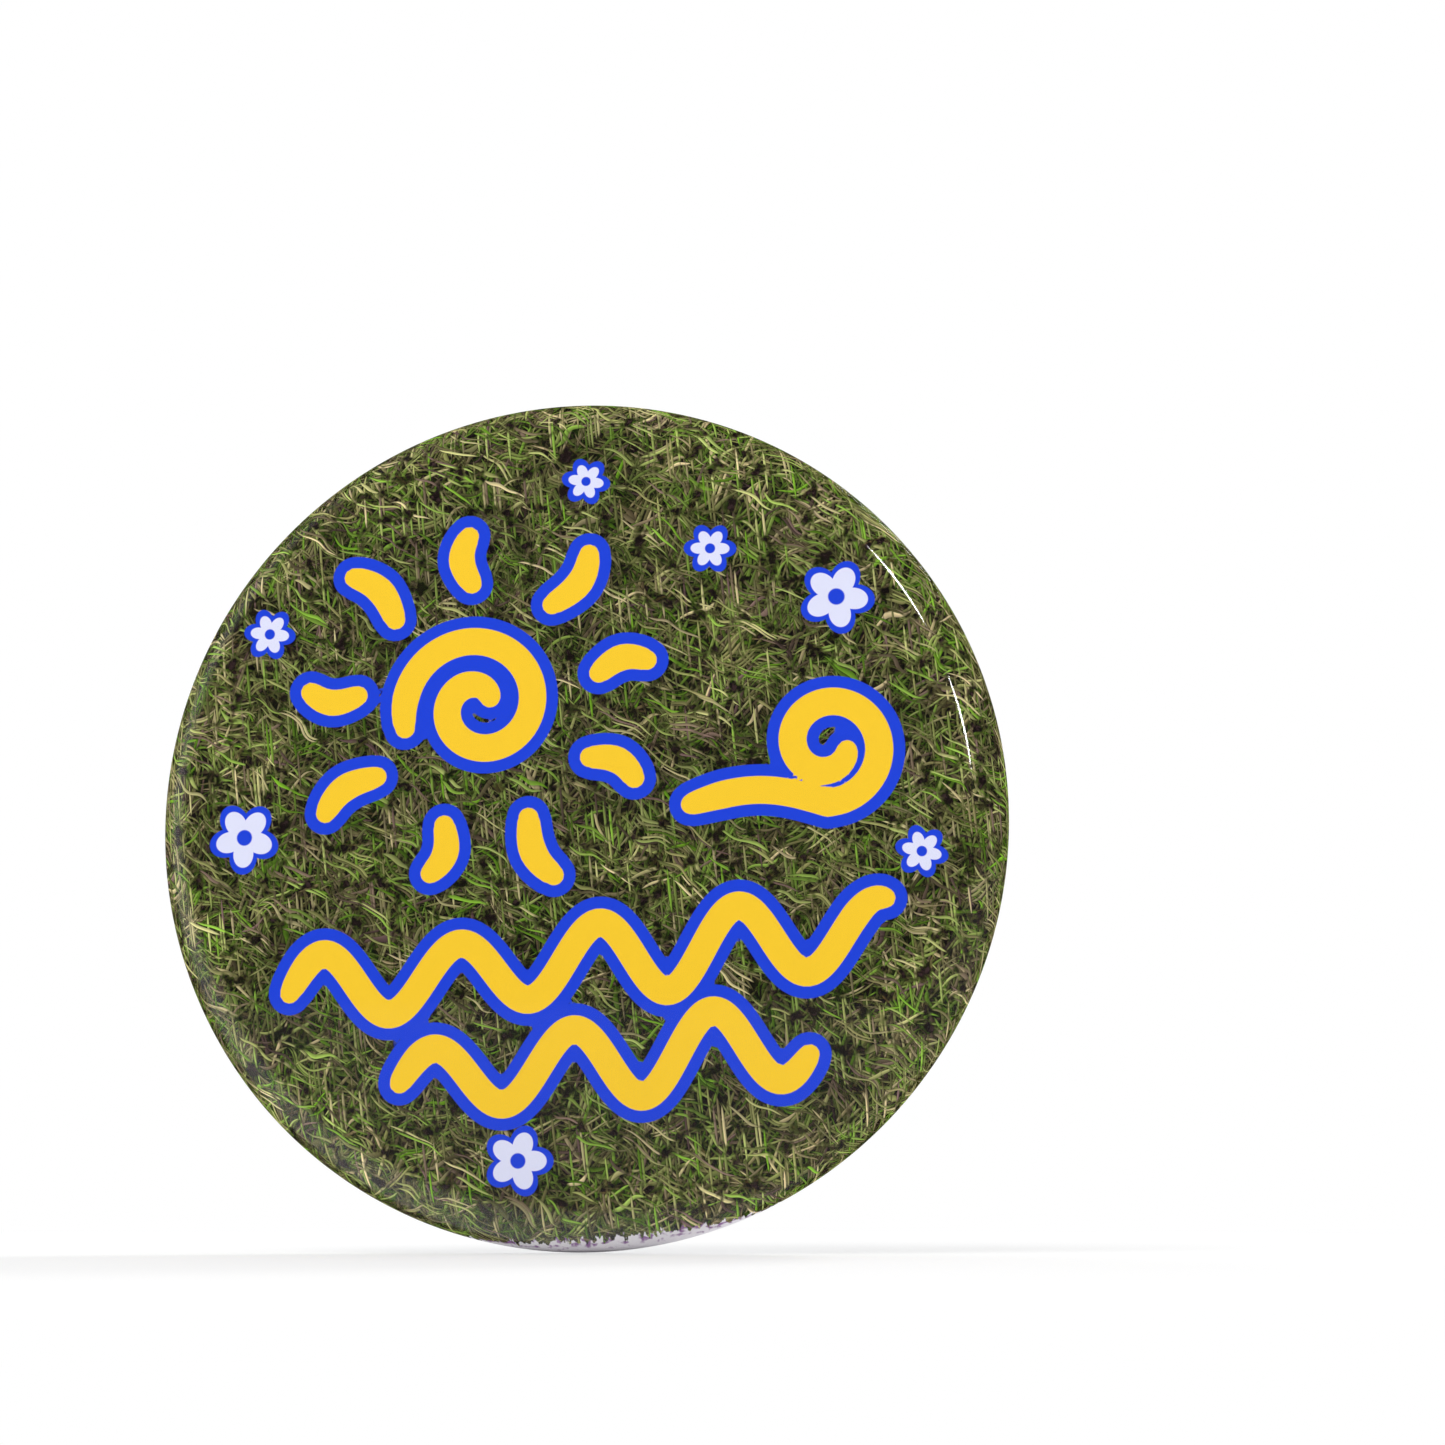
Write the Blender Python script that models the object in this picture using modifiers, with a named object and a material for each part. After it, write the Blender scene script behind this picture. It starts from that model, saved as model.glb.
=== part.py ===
"""Round button badge, 57 mm across, with a spring wire pin on its back.

World frame: the printed face looks along -Y, the metal back and its pin look along +Y,
and +Z is up. The origin is the middle of the badge's box.

Every piece is modelled lying face down: x runs to the right and y up as seen from
behind, and z runs from the middle of the face towards the back. The empty called
badge_frame turns that bench frame into the world frame.
"""
import math

import bpy
import numpy as np
from mathutils import Vector

MM = 0.001

# Front: a shallow dome with a flat middle, a round shoulder, and an edge that curls in
BADGE_DIAMETER = 57.15 * MM
FACE_DOME_RADIUS = 350.0 * MM
FACE_FLAT_RADIUS = 4.0 * MM
SHOULDER_RADIUS = 3.0 * MM
CURL_RADIUS = 1.9 * MM
CURL_ANGLE = math.radians(72.0)

# Layers, from the outside in
FILM_THICKNESS = 0.12 * MM
PRINT_THICKNESS = 0.14 * MM
SHELL_THICKNESS = 0.30 * MM
LAYER_GAP = 0.06 * MM

# Back plate: flat floor, sloped ring, fillet, folded rim and the flange behind it
PLATE_THICKNESS = 0.30 * MM
FLOOR_RADIUS = 20.3 * MM
DISH_DEPTH = 1.9 * MM
RING_FILLET = 0.45 * MM
RIM_STANDS_OUT = 0.29 * MM
RIM_CREST_FLAT = 0.20 * MM
RIM_WALL_HEIGHT = 0.10 * MM
FLANGE_LENGTH = 1.6 * MM
FLANGE_GAP = 0.11 * MM
WEB_ANGLE = math.radians(30.0)

# Two drawn holes in the floor, level with each other and above the badge's middle
HOLE_RADIUS = 3.0 * MM
HOLE_SPACING = 29.0 * MM
HOLE_HEIGHT = 7.6 * MM
HOLE_LIP_RADIUS = 0.25 * MM
COLLAR_WALL = 0.30 * MM
COLLAR_DEPTH = 1.25 * MM

# Pin wire
WIRE_DIAMETER = 0.64 * MM
WIRE_CLEARANCE = 0.10 * MM
ROOT_ANGLE = math.radians(75.0)
NEEDLE_HEIGHT = 2.0 * MM
NEEDLE_RISE = 0.30 * MM
POINT_LENGTH = 5.0 * MM
POINT_DIAMETER = 0.10 * MM
TIP_PAST_HOOK = 0.30 * MM
COIL_TURNS = 1.5
COIL_TURN_GAP = 0.48 * MM

# Hook: two arms that cross over the needle and join in a drooping lip
HOOK_WIDTH = 3.45 * MM
HOOK_SHIFT = 0.22 * MM
HOOK_SKEW = 0.45 * MM
HOOK_LEG_OFFSET = 0.95 * MM
HOOK_SHOULDER = 1.0 * MM
HOOK_LIP_REACH = 2.05 * MM
HOOK_LIP_DROOP = 0.50 * MM
HOOK_BEND_RADIUS = 0.90 * MM

# Fineness of the faceted solids
ROUND_STEPS = 60
DOME_STEPS = 3
SHOULDER_STEPS = 6
CURL_STEPS = 4
SMALL_ARC_STEPS = 3
SHAFT_STEPS = 4
TAPER_STEPS = 2
HOOK_ARM_STEPS = 6
HOOK_LIP_STEPS = 14
FINE_WIRE_SIDES = 2
COIL_WIRE_SIDES = 1
COIL_POINTS_PER_TURN = 24
MERGE_DISTANCE = 1e-6

# Sizes that follow from the ones above
BADGE_RADIUS = BADGE_DIAMETER / 2
WIRE_RADIUS = WIRE_DIAMETER / 2
FLAT_TILT = math.asin(FACE_FLAT_RADIUS / FACE_DOME_RADIUS)
DOME_CENTRE_Z = FACE_DOME_RADIUS * math.cos(FLAT_TILT)
SHOULDER_TILT = math.asin(
    (BADGE_RADIUS - SHOULDER_RADIUS) / (FACE_DOME_RADIUS - SHOULDER_RADIUS))
WIDEST_Z = DOME_CENTRE_Z - (FACE_DOME_RADIUS - SHOULDER_RADIUS) * math.cos(SHOULDER_TILT)
CURL_CENTRE_R = BADGE_RADIUS - CURL_RADIUS
CURL_END_Z = WIDEST_Z + CURL_RADIUS * math.sin(CURL_ANGLE)
STACK = FILM_THICKNESS + PRINT_THICKNESS + SHELL_THICKNESS + 2 * LAYER_GAP
SHELL_MOUTH_R = CURL_CENTRE_R + (CURL_RADIUS - STACK) * math.cos(CURL_ANGLE)

RIM_Z = CURL_END_Z + RIM_STANDS_OUT
FLOOR_Z = RIM_Z - DISH_DEPTH
FLANGE_R = SHELL_MOUTH_R - FLANGE_GAP
COLLAR_END_Z = FLOOR_Z - COLLAR_DEPTH

NEEDLE_Y = HOLE_HEIGHT + NEEDLE_RISE
NEEDLE_Z = FLOOR_Z + NEEDLE_HEIGHT
BASE_Z = COLLAR_END_Z - WIRE_CLEARANCE - WIRE_RADIUS
COIL_RADIUS = (NEEDLE_Z - BASE_Z) / 2
COIL_PITCH = WIRE_DIAMETER + COIL_TURN_GAP
COIL_X = HOLE_SPACING / 2
WIRE_END_X = COIL_X - WIRE_DIAMETER
PIVOT_X = WIRE_END_X - WIRE_CLEARANCE - WIRE_RADIUS
HOOK_X = -HOLE_SPACING / 2 - HOOK_SHIFT
HOOK_FAR_X = HOOK_X - HOOK_WIDTH / 2
HOOK_NEAR_X = HOOK_X + HOOK_WIDTH / 2
HOOK_LEG_Y = NEEDLE_Y + HOOK_LEG_OFFSET
HOOK_TOP_Z = NEEDLE_Z + WIRE_DIAMETER + WIRE_CLEARANCE
BADGE_DEPTH = HOOK_TOP_Z + WIRE_RADIUS


def clear_scene():
    """Remove every object of the scene that the script starts in."""
    for old in list(bpy.data.objects):
        bpy.data.objects.remove(old, do_unlink=True)


def new_collection(name):
    """Make a collection under the scene's own."""
    made = bpy.data.collections.new(name)
    bpy.context.scene.collection.children.link(made)
    return made


def new_material(name, colour, roughness, metallic, alpha=1.0):
    """Make a plain Principled material."""
    made = bpy.data.materials.new(name)
    made.use_nodes = True
    shader = made.node_tree.nodes["Principled BSDF"]
    shader.inputs["Base Color"].default_value = (*colour, 1.0)
    shader.inputs["Roughness"].default_value = roughness
    shader.inputs["Metallic"].default_value = metallic
    shader.inputs["Alpha"].default_value = alpha
    return made


def arc(centre_r, centre_z, radius, start, end, steps):
    """Points (r, z) on a circle from one angle to another, both ends included."""
    angles = np.linspace(start, end, steps + 1)
    return [(centre_r + radius * math.cos(a), centre_z + radius * math.sin(a)) for a in angles]


def turned(name, profile, collection):
    """Turn a profile of (r, z) points round z with a Screw modifier.

    The profile starts on the axis at the back, runs outwards and down its outer side,
    and ends on the axis at the front.
    """
    mesh = bpy.data.meshes.new(name)
    edges = [(i, i + 1) for i in range(len(profile) - 1)]
    mesh.from_pydata([(r, 0.0, z) for r, z in profile], edges, [])
    made = bpy.data.objects.new(name, mesh)
    collection.objects.link(made)
    screw = made.modifiers.new("turn", "SCREW")
    screw.steps = ROUND_STEPS
    screw.render_steps = ROUND_STEPS
    screw.use_merge_vertices = True
    screw.merge_threshold = MERGE_DISTANCE
    screw.use_smooth_shade = True
    return made


def wire(name, points, collection, sides, radii=None):
    """Draw a round wire of WIRE_DIAMETER through points, closed at both ends.

    It has 4 + 4 * sides flat sides. The radii, if given, are shares of the wire's own.
    """
    curve = bpy.data.curves.new(name, "CURVE")
    curve.dimensions = "3D"
    curve.bevel_depth = WIRE_RADIUS
    curve.bevel_resolution = sides
    curve.use_fill_caps = True
    spline = curve.splines.new("POLY")
    spline.points.add(len(points) - 1)
    for index, place in enumerate(points):
        spline.points[index].co = (*place, 1.0)
        spline.points[index].radius = 1.0 if radii is None else radii[index]
    made = bpy.data.objects.new(name, curve)
    collection.objects.link(made)
    return made


def layer_surface(depth):
    """Profile of the front, offset inwards by depth, from the axis to the curled edge."""
    dome = arc(0.0, DOME_CENTRE_Z, FACE_DOME_RADIUS - depth,
               FLAT_TILT - math.pi / 2, SHOULDER_TILT - math.pi / 2, DOME_STEPS)
    shoulder = arc(BADGE_RADIUS - SHOULDER_RADIUS, WIDEST_Z, SHOULDER_RADIUS - depth,
                   SHOULDER_TILT - math.pi / 2, 0.0, SHOULDER_STEPS)
    curl = arc(CURL_CENTRE_R, WIDEST_Z, CURL_RADIUS - depth, 0.0, CURL_ANGLE, CURL_STEPS)
    return [(0.0, dome[0][1])] + dome + shoulder[1:] + curl[1:]


def front_layer(name, outer_depth, thickness, collection):
    """One of the cups that make the front: its inner side, its edge, its outer side."""
    inner = layer_surface(outer_depth + thickness)
    outer = layer_surface(outer_depth)
    return turned(name, inner + outer[::-1], collection)


def plate_profile():
    """Section of the back plate, from its floor over the folded rim to its underside."""
    wall_r = FLANGE_R - 2 * PLATE_THICKNESS
    corner = (2 * PLATE_THICKNESS - RIM_CREST_FLAT) / 2
    fillet_r = wall_r - RING_FILLET
    fillet_z = RIM_Z - corner - RIM_WALL_HEIGHT
    to_fillet = Vector((fillet_r - FLOOR_RADIUS, fillet_z - FLOOR_Z))
    slope = math.atan2(to_fillet.y, to_fillet.x) - math.asin(RING_FILLET / to_fillet.length)
    crease_shift = PLATE_THICKNESS * math.tan(slope / 2)

    floor = [(0.0, FLOOR_Z), (FLOOR_RADIUS, FLOOR_Z)]
    fillet = arc(fillet_r, fillet_z, RING_FILLET, slope - math.pi / 2, 0.0, SMALL_ARC_STEPS)
    crest_in = arc(wall_r + corner, RIM_Z - corner, corner, math.pi, math.pi / 2,
                   SMALL_ARC_STEPS)
    crest_out = arc(FLANGE_R - corner, RIM_Z - corner, corner, math.pi / 2, 0.0,
                    SMALL_ARC_STEPS)
    under_fillet = arc(fillet_r, fillet_z, RING_FILLET + PLATE_THICKNESS,
                       -WEB_ANGLE, slope - math.pi / 2, SMALL_ARC_STEPS)
    flange = [(FLANGE_R, RIM_Z - FLANGE_LENGTH),
              (FLANGE_R - PLATE_THICKNESS, RIM_Z - FLANGE_LENGTH),
              (FLANGE_R - PLATE_THICKNESS, under_fillet[0][1])]
    underside = [(FLOOR_RADIUS + crease_shift, FLOOR_Z - PLATE_THICKNESS),
                 (0.0, FLOOR_Z - PLATE_THICKNESS)]
    return floor + fillet + crest_in + crest_out + flange + under_fillet + underside


def boolean(target, operation, operands):
    """Join or cut target with every object of a collection."""
    change = target.modifiers.new(operation.lower(), "BOOLEAN")
    change.operation = operation
    change.operand_type = "COLLECTION"
    change.collection = operands
    change.solver = "EXACT"


def hide_helper(helper):
    """Mark a cutter or a joined-in helper as not part of the badge."""
    helper.hide_render = True
    helper.display_type = "WIRE"


def hole_helpers(side, collars, cutters):
    """The collar drawn down from the floor at one hole, and the cutter of its bore."""
    top = FLOOR_Z - PLATE_THICKNESS / 2
    collar_r = HOLE_RADIUS + COLLAR_WALL
    collar = turned("collar", [(0.0, top), (collar_r, top), (collar_r, COLLAR_END_Z),
                               (0.0, COLLAR_END_Z)], collars)
    above = FLOOR_Z + DISH_DEPTH
    mouth_r = HOLE_RADIUS + HOLE_LIP_RADIUS
    below = COLLAR_END_Z - COLLAR_DEPTH
    lip = arc(mouth_r, FLOOR_Z - HOLE_LIP_RADIUS, HOLE_LIP_RADIUS, math.pi / 2, math.pi,
              SMALL_ARC_STEPS)
    cutter = turned("hole_cutter", [(0.0, above), (mouth_r, above)] + lip
                    + [(HOLE_RADIUS, below), (0.0, below)], cutters)
    for helper in (collar, cutter):
        helper.location = (side * HOLE_SPACING / 2, HOLE_HEIGHT, 0.0)
        hide_helper(helper)
    return [collar, cutter]


def needle(collection):
    """Straight needle: a round root on the pivot, then a shaft drawn to a point."""
    length = PIVOT_X - (HOOK_FAR_X - TIP_PAST_HOOK)
    shaft_end = length - POINT_LENGTH
    tip_share = POINT_DIAMETER / WIRE_DIAMETER
    root = [(-WIRE_RADIUS * math.sin(a), math.cos(a))
            for a in np.linspace(-ROOT_ANGLE, 0.0, SMALL_ARC_STEPS + 1)]
    shaft = [(-x, 1.0) for x in np.linspace(0.0, shaft_end, SHAFT_STEPS + 1)[1:-1]]
    taper = [(-(shaft_end + POINT_LENGTH * s), 1.0 + (tip_share - 1.0) * s)
             for s in np.linspace(0.0, 1.0, TAPER_STEPS + 1)]
    stations = root + shaft + taper
    made = wire("pin_needle", [(x, 0.0, 0.0) for x, _ in stations], collection,
                FINE_WIRE_SIDES, [share for _, share in stations])
    made.location = (PIVOT_X, NEEDLE_Y, NEEDLE_Z)
    return made


def coil_points():
    """Helix round a line parallel to y, with a straight run of one wire at each end."""
    centre_z = NEEDLE_Z - COIL_RADIUS
    turns = np.linspace(0.0, COIL_TURNS, round(COIL_TURNS * COIL_POINTS_PER_TURN) + 1)
    angles = 2 * math.pi * turns
    helix = np.stack([COIL_X + COIL_RADIUS * np.sin(angles),
                      NEEDLE_Y + COIL_PITCH * turns,
                      centre_z + COIL_RADIUS * np.cos(angles)], axis=1)
    run = np.array([[WIRE_DIAMETER, 0.0, 0.0]])
    return np.concatenate([helix[:1] - run, helix, helix[-1:] - run])


def least_gap(points, neighbours):
    """Least clear gap between stretches of a wire more than neighbours points apart."""
    reach = np.linalg.norm(points[:, None] - points[None], axis=2)
    count = np.arange(len(points))
    apart = np.abs(count[:, None] - count[None]) > neighbours
    return reach[apart].min() - WIRE_DIAMETER


def hook_height(y):
    """Height of the hook's wire above the needle's level, at a distance y above the needle.

    Above the needle it is a quarter ellipse up from the leg, below it a drooping parabola.
    """
    top = HOOK_TOP_Z - NEEDLE_Z
    if y >= 0.0:
        return top - HOOK_SHOULDER * (1.0 - math.sqrt(max(0.0, 1.0 - (y / HOOK_LEG_OFFSET) ** 2)))
    return top - HOOK_LIP_DROOP * (y / HOOK_LIP_REACH) ** 2


def hook_points():
    """Arms of the hook and the lip that joins them, from far leg to near leg.

    Seen from behind, the lip is half an ellipse below the needle, with its middle moved
    towards the near arm by HOOK_SKEW.
    """
    over = [HOOK_LEG_OFFSET * math.cos(a)
            for a in np.linspace(0.0, math.pi / 2, HOOK_ARM_STEPS + 1)]
    lip = [(HOOK_X - HOOK_WIDTH / 2 * math.cos(a) + HOOK_SKEW * math.sin(a),
            -HOOK_LIP_REACH * math.sin(a))
           for a in np.linspace(0.0, math.pi, HOOK_LIP_STEPS + 1)]
    plan = [(HOOK_FAR_X, y) for y in over] + lip[1:-1] + [(HOOK_NEAR_X, y) for y in over[::-1]]
    return [(x, NEEDLE_Y + y, NEEDLE_Z + hook_height(y)) for x, y in plan]


def base_points():
    """Base wire: under the floor from the coil, up into the hook, and down to its end."""
    start = (WIRE_END_X - WIRE_CLEARANCE, NEEDLE_Y + COIL_PITCH * COIL_TURNS, BASE_Z)
    bend = [(HOOK_FAR_X + HOOK_BEND_RADIUS * (1.0 - math.sin(a)), HOOK_LEG_Y,
             BASE_Z + HOOK_BEND_RADIUS * (1.0 - math.cos(a)))
            for a in np.linspace(0.0, math.pi / 2, HOOK_ARM_STEPS + 1)]
    end = (HOOK_NEAR_X, HOOK_LEG_Y, BASE_Z + WIRE_RADIUS + WIRE_CLEARANCE)
    return [start] + bend + hook_points() + [end]


def main():
    """Build the badge."""
    clear_scene()
    parts = new_collection("button_badge")
    helpers = new_collection("helpers")
    collars = bpy.data.collections.new("collars")
    cutters = bpy.data.collections.new("hole_cutters")
    helpers.children.link(collars)
    helpers.children.link(cutters)

    tinplate = new_material("bare_tinplate", (0.62, 0.64, 0.66), 0.35, 1.0)
    brushed = new_material("brushed_plate", (0.56, 0.58, 0.60), 0.38, 1.0)
    paper = new_material("printed_paper", (0.22, 0.25, 0.08), 0.60, 0.0)
    film = new_material("clear_film", (1.0, 1.0, 1.0), 0.08, 0.0, 0.2)
    steel = new_material("spring_wire", (0.36, 0.34, 0.32), 0.25, 1.0)

    frame = bpy.data.objects.new("badge_frame", None)
    frame.rotation_euler = (math.pi / 2, 0.0, math.pi)
    frame.location = (0.0, -BADGE_DEPTH / 2, 0.0)
    parts.objects.link(frame)

    print_depth = FILM_THICKNESS + LAYER_GAP
    shell_depth = print_depth + PRINT_THICKNESS + LAYER_GAP
    film_disc = front_layer("film_disc", 0.0, FILM_THICKNESS, parts)
    print_disc = front_layer("print_disc", print_depth, PRINT_THICKNESS, parts)
    front_shell = front_layer("front_shell", shell_depth, SHELL_THICKNESS, parts)

    back_plate = turned("back_plate", plate_profile(), parts)
    holes = hole_helpers(-1, collars, cutters) + hole_helpers(1, collars, cutters)
    boolean(back_plate, "UNION", collars)
    boolean(back_plate, "DIFFERENCE", cutters)

    coil_route = coil_points()
    pin_coil = wire("pin_coil", coil_route, parts, COIL_WIRE_SIDES)
    pin_base = wire("pin_base_wire", base_points(), parts, FINE_WIRE_SIDES)
    pin_needle = needle(parts)
    gap = least_gap(coil_route, COIL_POINTS_PER_TURN // 2)
    print(f"pin_coil: least gap between its turns {gap / MM:.3f} mm")

    finishes = {film_disc: film, print_disc: paper, front_shell: tinplate,
                back_plate: brushed, pin_coil: steel, pin_base: steel, pin_needle: steel}
    for piece, finish in finishes.items():
        piece.data.materials.append(finish)
    for piece in list(finishes) + holes:
        piece.parent = frame


if __name__ == "__main__":
    main()
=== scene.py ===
"""Looks of a round button badge, 57 mm across, with a spring wire pin on its back.

World frame, in metres: the printed face looks along -Y, the metal back and its pin look along
+Y, and +Z is up. Shapes are first worked out on the bench, where x runs to the right and y up as
seen from behind, and z runs from the middle of the face towards the back.
"""

import logging
import math
from dataclasses import dataclass
from enum import Enum
from typing import Any, Optional, Sequence, Union

import bmesh
import bpy
import numpy as np
from mathutils import Matrix, Vector


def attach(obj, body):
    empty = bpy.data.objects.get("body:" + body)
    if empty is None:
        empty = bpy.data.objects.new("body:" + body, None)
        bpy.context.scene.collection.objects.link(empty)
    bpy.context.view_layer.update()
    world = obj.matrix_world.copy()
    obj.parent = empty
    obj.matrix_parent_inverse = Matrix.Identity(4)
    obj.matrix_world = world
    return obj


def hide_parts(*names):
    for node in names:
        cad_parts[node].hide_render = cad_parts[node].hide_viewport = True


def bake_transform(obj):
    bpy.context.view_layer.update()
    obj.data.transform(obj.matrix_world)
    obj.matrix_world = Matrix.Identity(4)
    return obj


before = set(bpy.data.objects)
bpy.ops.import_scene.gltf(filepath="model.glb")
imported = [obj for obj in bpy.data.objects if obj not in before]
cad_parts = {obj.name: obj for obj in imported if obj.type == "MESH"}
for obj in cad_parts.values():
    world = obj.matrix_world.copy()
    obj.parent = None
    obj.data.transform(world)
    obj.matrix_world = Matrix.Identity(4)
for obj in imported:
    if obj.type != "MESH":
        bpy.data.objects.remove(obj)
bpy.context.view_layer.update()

MM = 0.001
WELD = 1e-7
ROOT_BODY = "badge_body"
LOG = logging.getLogger("button_badge")
Array = np.ndarray
Pair = tuple[float, float]
Triple = tuple[float, float, float]
Colour = tuple[float, float, float]


def srgb(red: int, green: int, blue: int) -> Colour:
    """Linear colour of an 8-bit screen colour: a straight foot, then a power of 2.4."""
    parts = np.array([red, green, blue]) / 255.0
    linear = np.where(parts <= 0.04045, parts / 12.92, ((parts + 0.055) / 1.055) ** 2.4)
    return tuple(float(part) for part in linear)


# ---------------------------------------------------------------- sizes


@dataclass(frozen=True)
class BadgeSizes:
    """Sizes of the badge, the same as on its solids, in metres."""

    radius: float = 28.575 * MM
    dome_radius: float = 350.0 * MM
    flat_radius: float = 4.0 * MM
    shoulder_radius: float = 3.0 * MM
    curl_radius: float = 1.9 * MM
    curl_angle: float = math.radians(72.0)
    film: float = 0.12 * MM
    paper: float = 0.14 * MM
    shell: float = 0.30 * MM
    layer_gap: float = 0.06 * MM
    plate: float = 0.30 * MM
    floor_radius: float = 20.3 * MM
    dish_depth: float = 1.9 * MM
    ring_fillet: float = 0.45 * MM
    rim_stands_out: float = 0.29 * MM
    rim_flat: float = 0.20 * MM
    rim_wall: float = 0.10 * MM
    flange_length: float = 1.6 * MM
    flange_gap: float = 0.11 * MM
    web_angle: float = math.radians(30.0)
    hole_radius: float = 3.0 * MM
    hole_spacing: float = 29.0 * MM
    hole_height: float = 7.6 * MM
    hole_lip: float = 0.25 * MM
    collar_wall: float = 0.30 * MM
    collar_depth: float = 1.25 * MM
    wire: float = 0.64 * MM
    clearance: float = 0.10 * MM
    needle_height: float = 2.0 * MM
    needle_rise: float = 0.30 * MM
    point_length: float = 5.0 * MM
    point_width: float = 0.10 * MM
    tip_past_hook: float = 0.30 * MM
    coil_turns: float = 1.5
    coil_gap: float = 0.48 * MM
    hook_width: float = 3.45 * MM
    hook_shift: float = 0.22 * MM
    hook_skew: float = 0.45 * MM
    hook_leg_offset: float = 0.95 * MM
    hook_shoulder: float = 1.0 * MM
    hook_reach: float = 2.05 * MM
    hook_droop: float = 0.50 * MM
    hook_bend: float = 0.90 * MM

    @property
    def shoulder_tilt(self) -> float:
        """Angle at which the dome meets the shoulder."""
        inner = self.radius - self.shoulder_radius
        return math.asin(inner / (self.dome_radius - self.shoulder_radius))

    @property
    def flat_tilt(self) -> float:
        """Angle of the dome at the edge of its flat middle."""
        return math.asin(self.flat_radius / self.dome_radius)

    @property
    def dome_centre(self) -> float:
        """Bench height of the dome's centre."""
        return self.dome_radius * math.cos(self.flat_tilt)

    @property
    def widest(self) -> float:
        """Bench height at which the badge is widest."""
        run = self.dome_radius - self.shoulder_radius
        return self.dome_centre - run * math.cos(self.shoulder_tilt)

    @property
    def rim(self) -> float:
        """Bench height of the rim's crest."""
        return self.widest + self.curl_radius * math.sin(self.curl_angle) + self.rim_stands_out

    @property
    def floor(self) -> float:
        """Bench height of the dish's floor."""
        return self.rim - self.dish_depth

    @property
    def flange(self) -> float:
        """Outer radius of the plate's flange."""
        stack = self.film + self.paper + self.shell + 2 * self.layer_gap
        mouth = (self.radius - self.curl_radius
                 + (self.curl_radius - stack) * math.cos(self.curl_angle))
        return mouth - self.flange_gap

    @property
    def collar_end(self) -> float:
        """Bench height of the collars' free ends."""
        return self.floor - self.collar_depth

    @property
    def wire_radius(self) -> float:
        """Radius of the pin's wire."""
        return self.wire / 2

    @property
    def needle_y(self) -> float:
        """Bench y of the needle."""
        return self.hole_height + self.needle_rise

    @property
    def needle_z(self) -> float:
        """Bench height of the needle."""
        return self.floor + self.needle_height

    @property
    def base_z(self) -> float:
        """Bench height of the leg under the plate."""
        return self.collar_end - self.clearance - self.wire_radius

    @property
    def coil_radius(self) -> float:
        """Radius of the coil, to the middle of its wire."""
        return (self.needle_z - self.base_z) / 2

    @property
    def coil_pitch(self) -> float:
        """Step from one turn of the coil to the next."""
        return self.wire + self.coil_gap

    @property
    def hook_top(self) -> float:
        """Bench height of the hook's arms where they cross the needle."""
        return self.needle_z + self.wire + self.clearance

    @property
    def depth(self) -> float:
        """Depth of the whole badge, from its face to the top of its hook."""
        return self.hook_top + self.wire_radius

    @property
    def hinge_x(self) -> float:
        """Bench x of the point that the needle turns about."""
        return self.hole_spacing / 2 - self.wire - self.clearance - self.wire_radius


SIZES = BadgeSizes()


def to_world(points: Array) -> Array:
    """Bench points in the world frame: (x, y, z) becomes (-x, z - half the depth, y)."""
    x, y, z = np.moveaxis(np.asarray(points, float), -1, 0)
    return np.stack([-x, z - SIZES.depth / 2, y], axis=-1)


# ---------------------------------------------------------------- shapes


def polar(centre: Sequence[float], radius: Union[float, Array], angle: Array) -> Array:
    """Points in a plane: the centre plus the radius times (cos, sin) of the angle."""
    return np.asarray(centre) + np.stack([radius * np.cos(angle), radius * np.sin(angle)], axis=-1)


def arc(centre: Sequence[float], radius: float, start: float, end: float, steps: int) -> Array:
    """Points of a circle from one angle to another.

    Args:
        centre: The circle's centre, (r, z).
        radius: Its radius.
        start: First angle, in radians.
        end: Last angle.
        steps: Number of stretches between them.

    Returns:
        An array of steps + 1 points.
    """
    return polar(centre, radius, np.linspace(start, end, steps + 1))


def refined(profile: Array, longest: float) -> Array:
    """The same broken line with extra points, evenly spaced in each of its stretches.

    Args:
        profile: The line's points.
        longest: The longest stretch that may be left.

    Returns:
        The new points, the old ones among them.
    """
    lengths = np.linalg.norm(np.diff(profile, axis=0), axis=1)
    counts = np.maximum(1, np.ceil(lengths / longest).astype(int))
    pieces = [np.linspace(a, b, n, endpoint=False)
              for a, b, n in zip(profile[:-1], profile[1:], counts)]
    return np.concatenate(pieces + [profile[-1:]])


def along(points: Array) -> Array:
    """Distance of each point of a broken line from its first, measured along the line."""
    return np.concatenate([[0.0], np.cumsum(np.linalg.norm(np.diff(points, axis=0), axis=1))])


def resampled(points: Array, spacing: float, soften: int) -> Array:
    """A broken line walked in equal steps, and its corners eased by a running mean.

    Args:
        points: The line's points.
        spacing: About how far apart the new points are.
        soften: How many neighbours on each side the mean takes in. The ends stay put.

    Returns:
        The new points.
    """
    walked = along(points)
    stations = np.linspace(0.0, walked[-1], max(2, round(walked[-1] / spacing)) + 1)
    even = np.stack([np.interp(stations, walked, axis) for axis in points.T], axis=1)
    window = np.ones(2 * soften + 1) / (2 * soften + 1)
    before = 2 * even[0] - even[soften:0:-1]
    after = 2 * even[-1] - even[-2:-soften - 2:-1]
    padded = np.concatenate([before, even, after])
    return np.stack([np.convolve(axis, window, "valid") for axis in padded.T], axis=1)


def linked(name: str, data: bpy.types.ID) -> bpy.types.Object:
    """Put a new object that holds the data into the scene."""
    made = bpy.data.objects.new(name, data)
    bpy.context.scene.collection.objects.link(made)
    return made


def graded(share: Any, start: float, gain: float) -> Any:
    """A level that follows a share: start plus gain times it."""
    return start + gain * share


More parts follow.
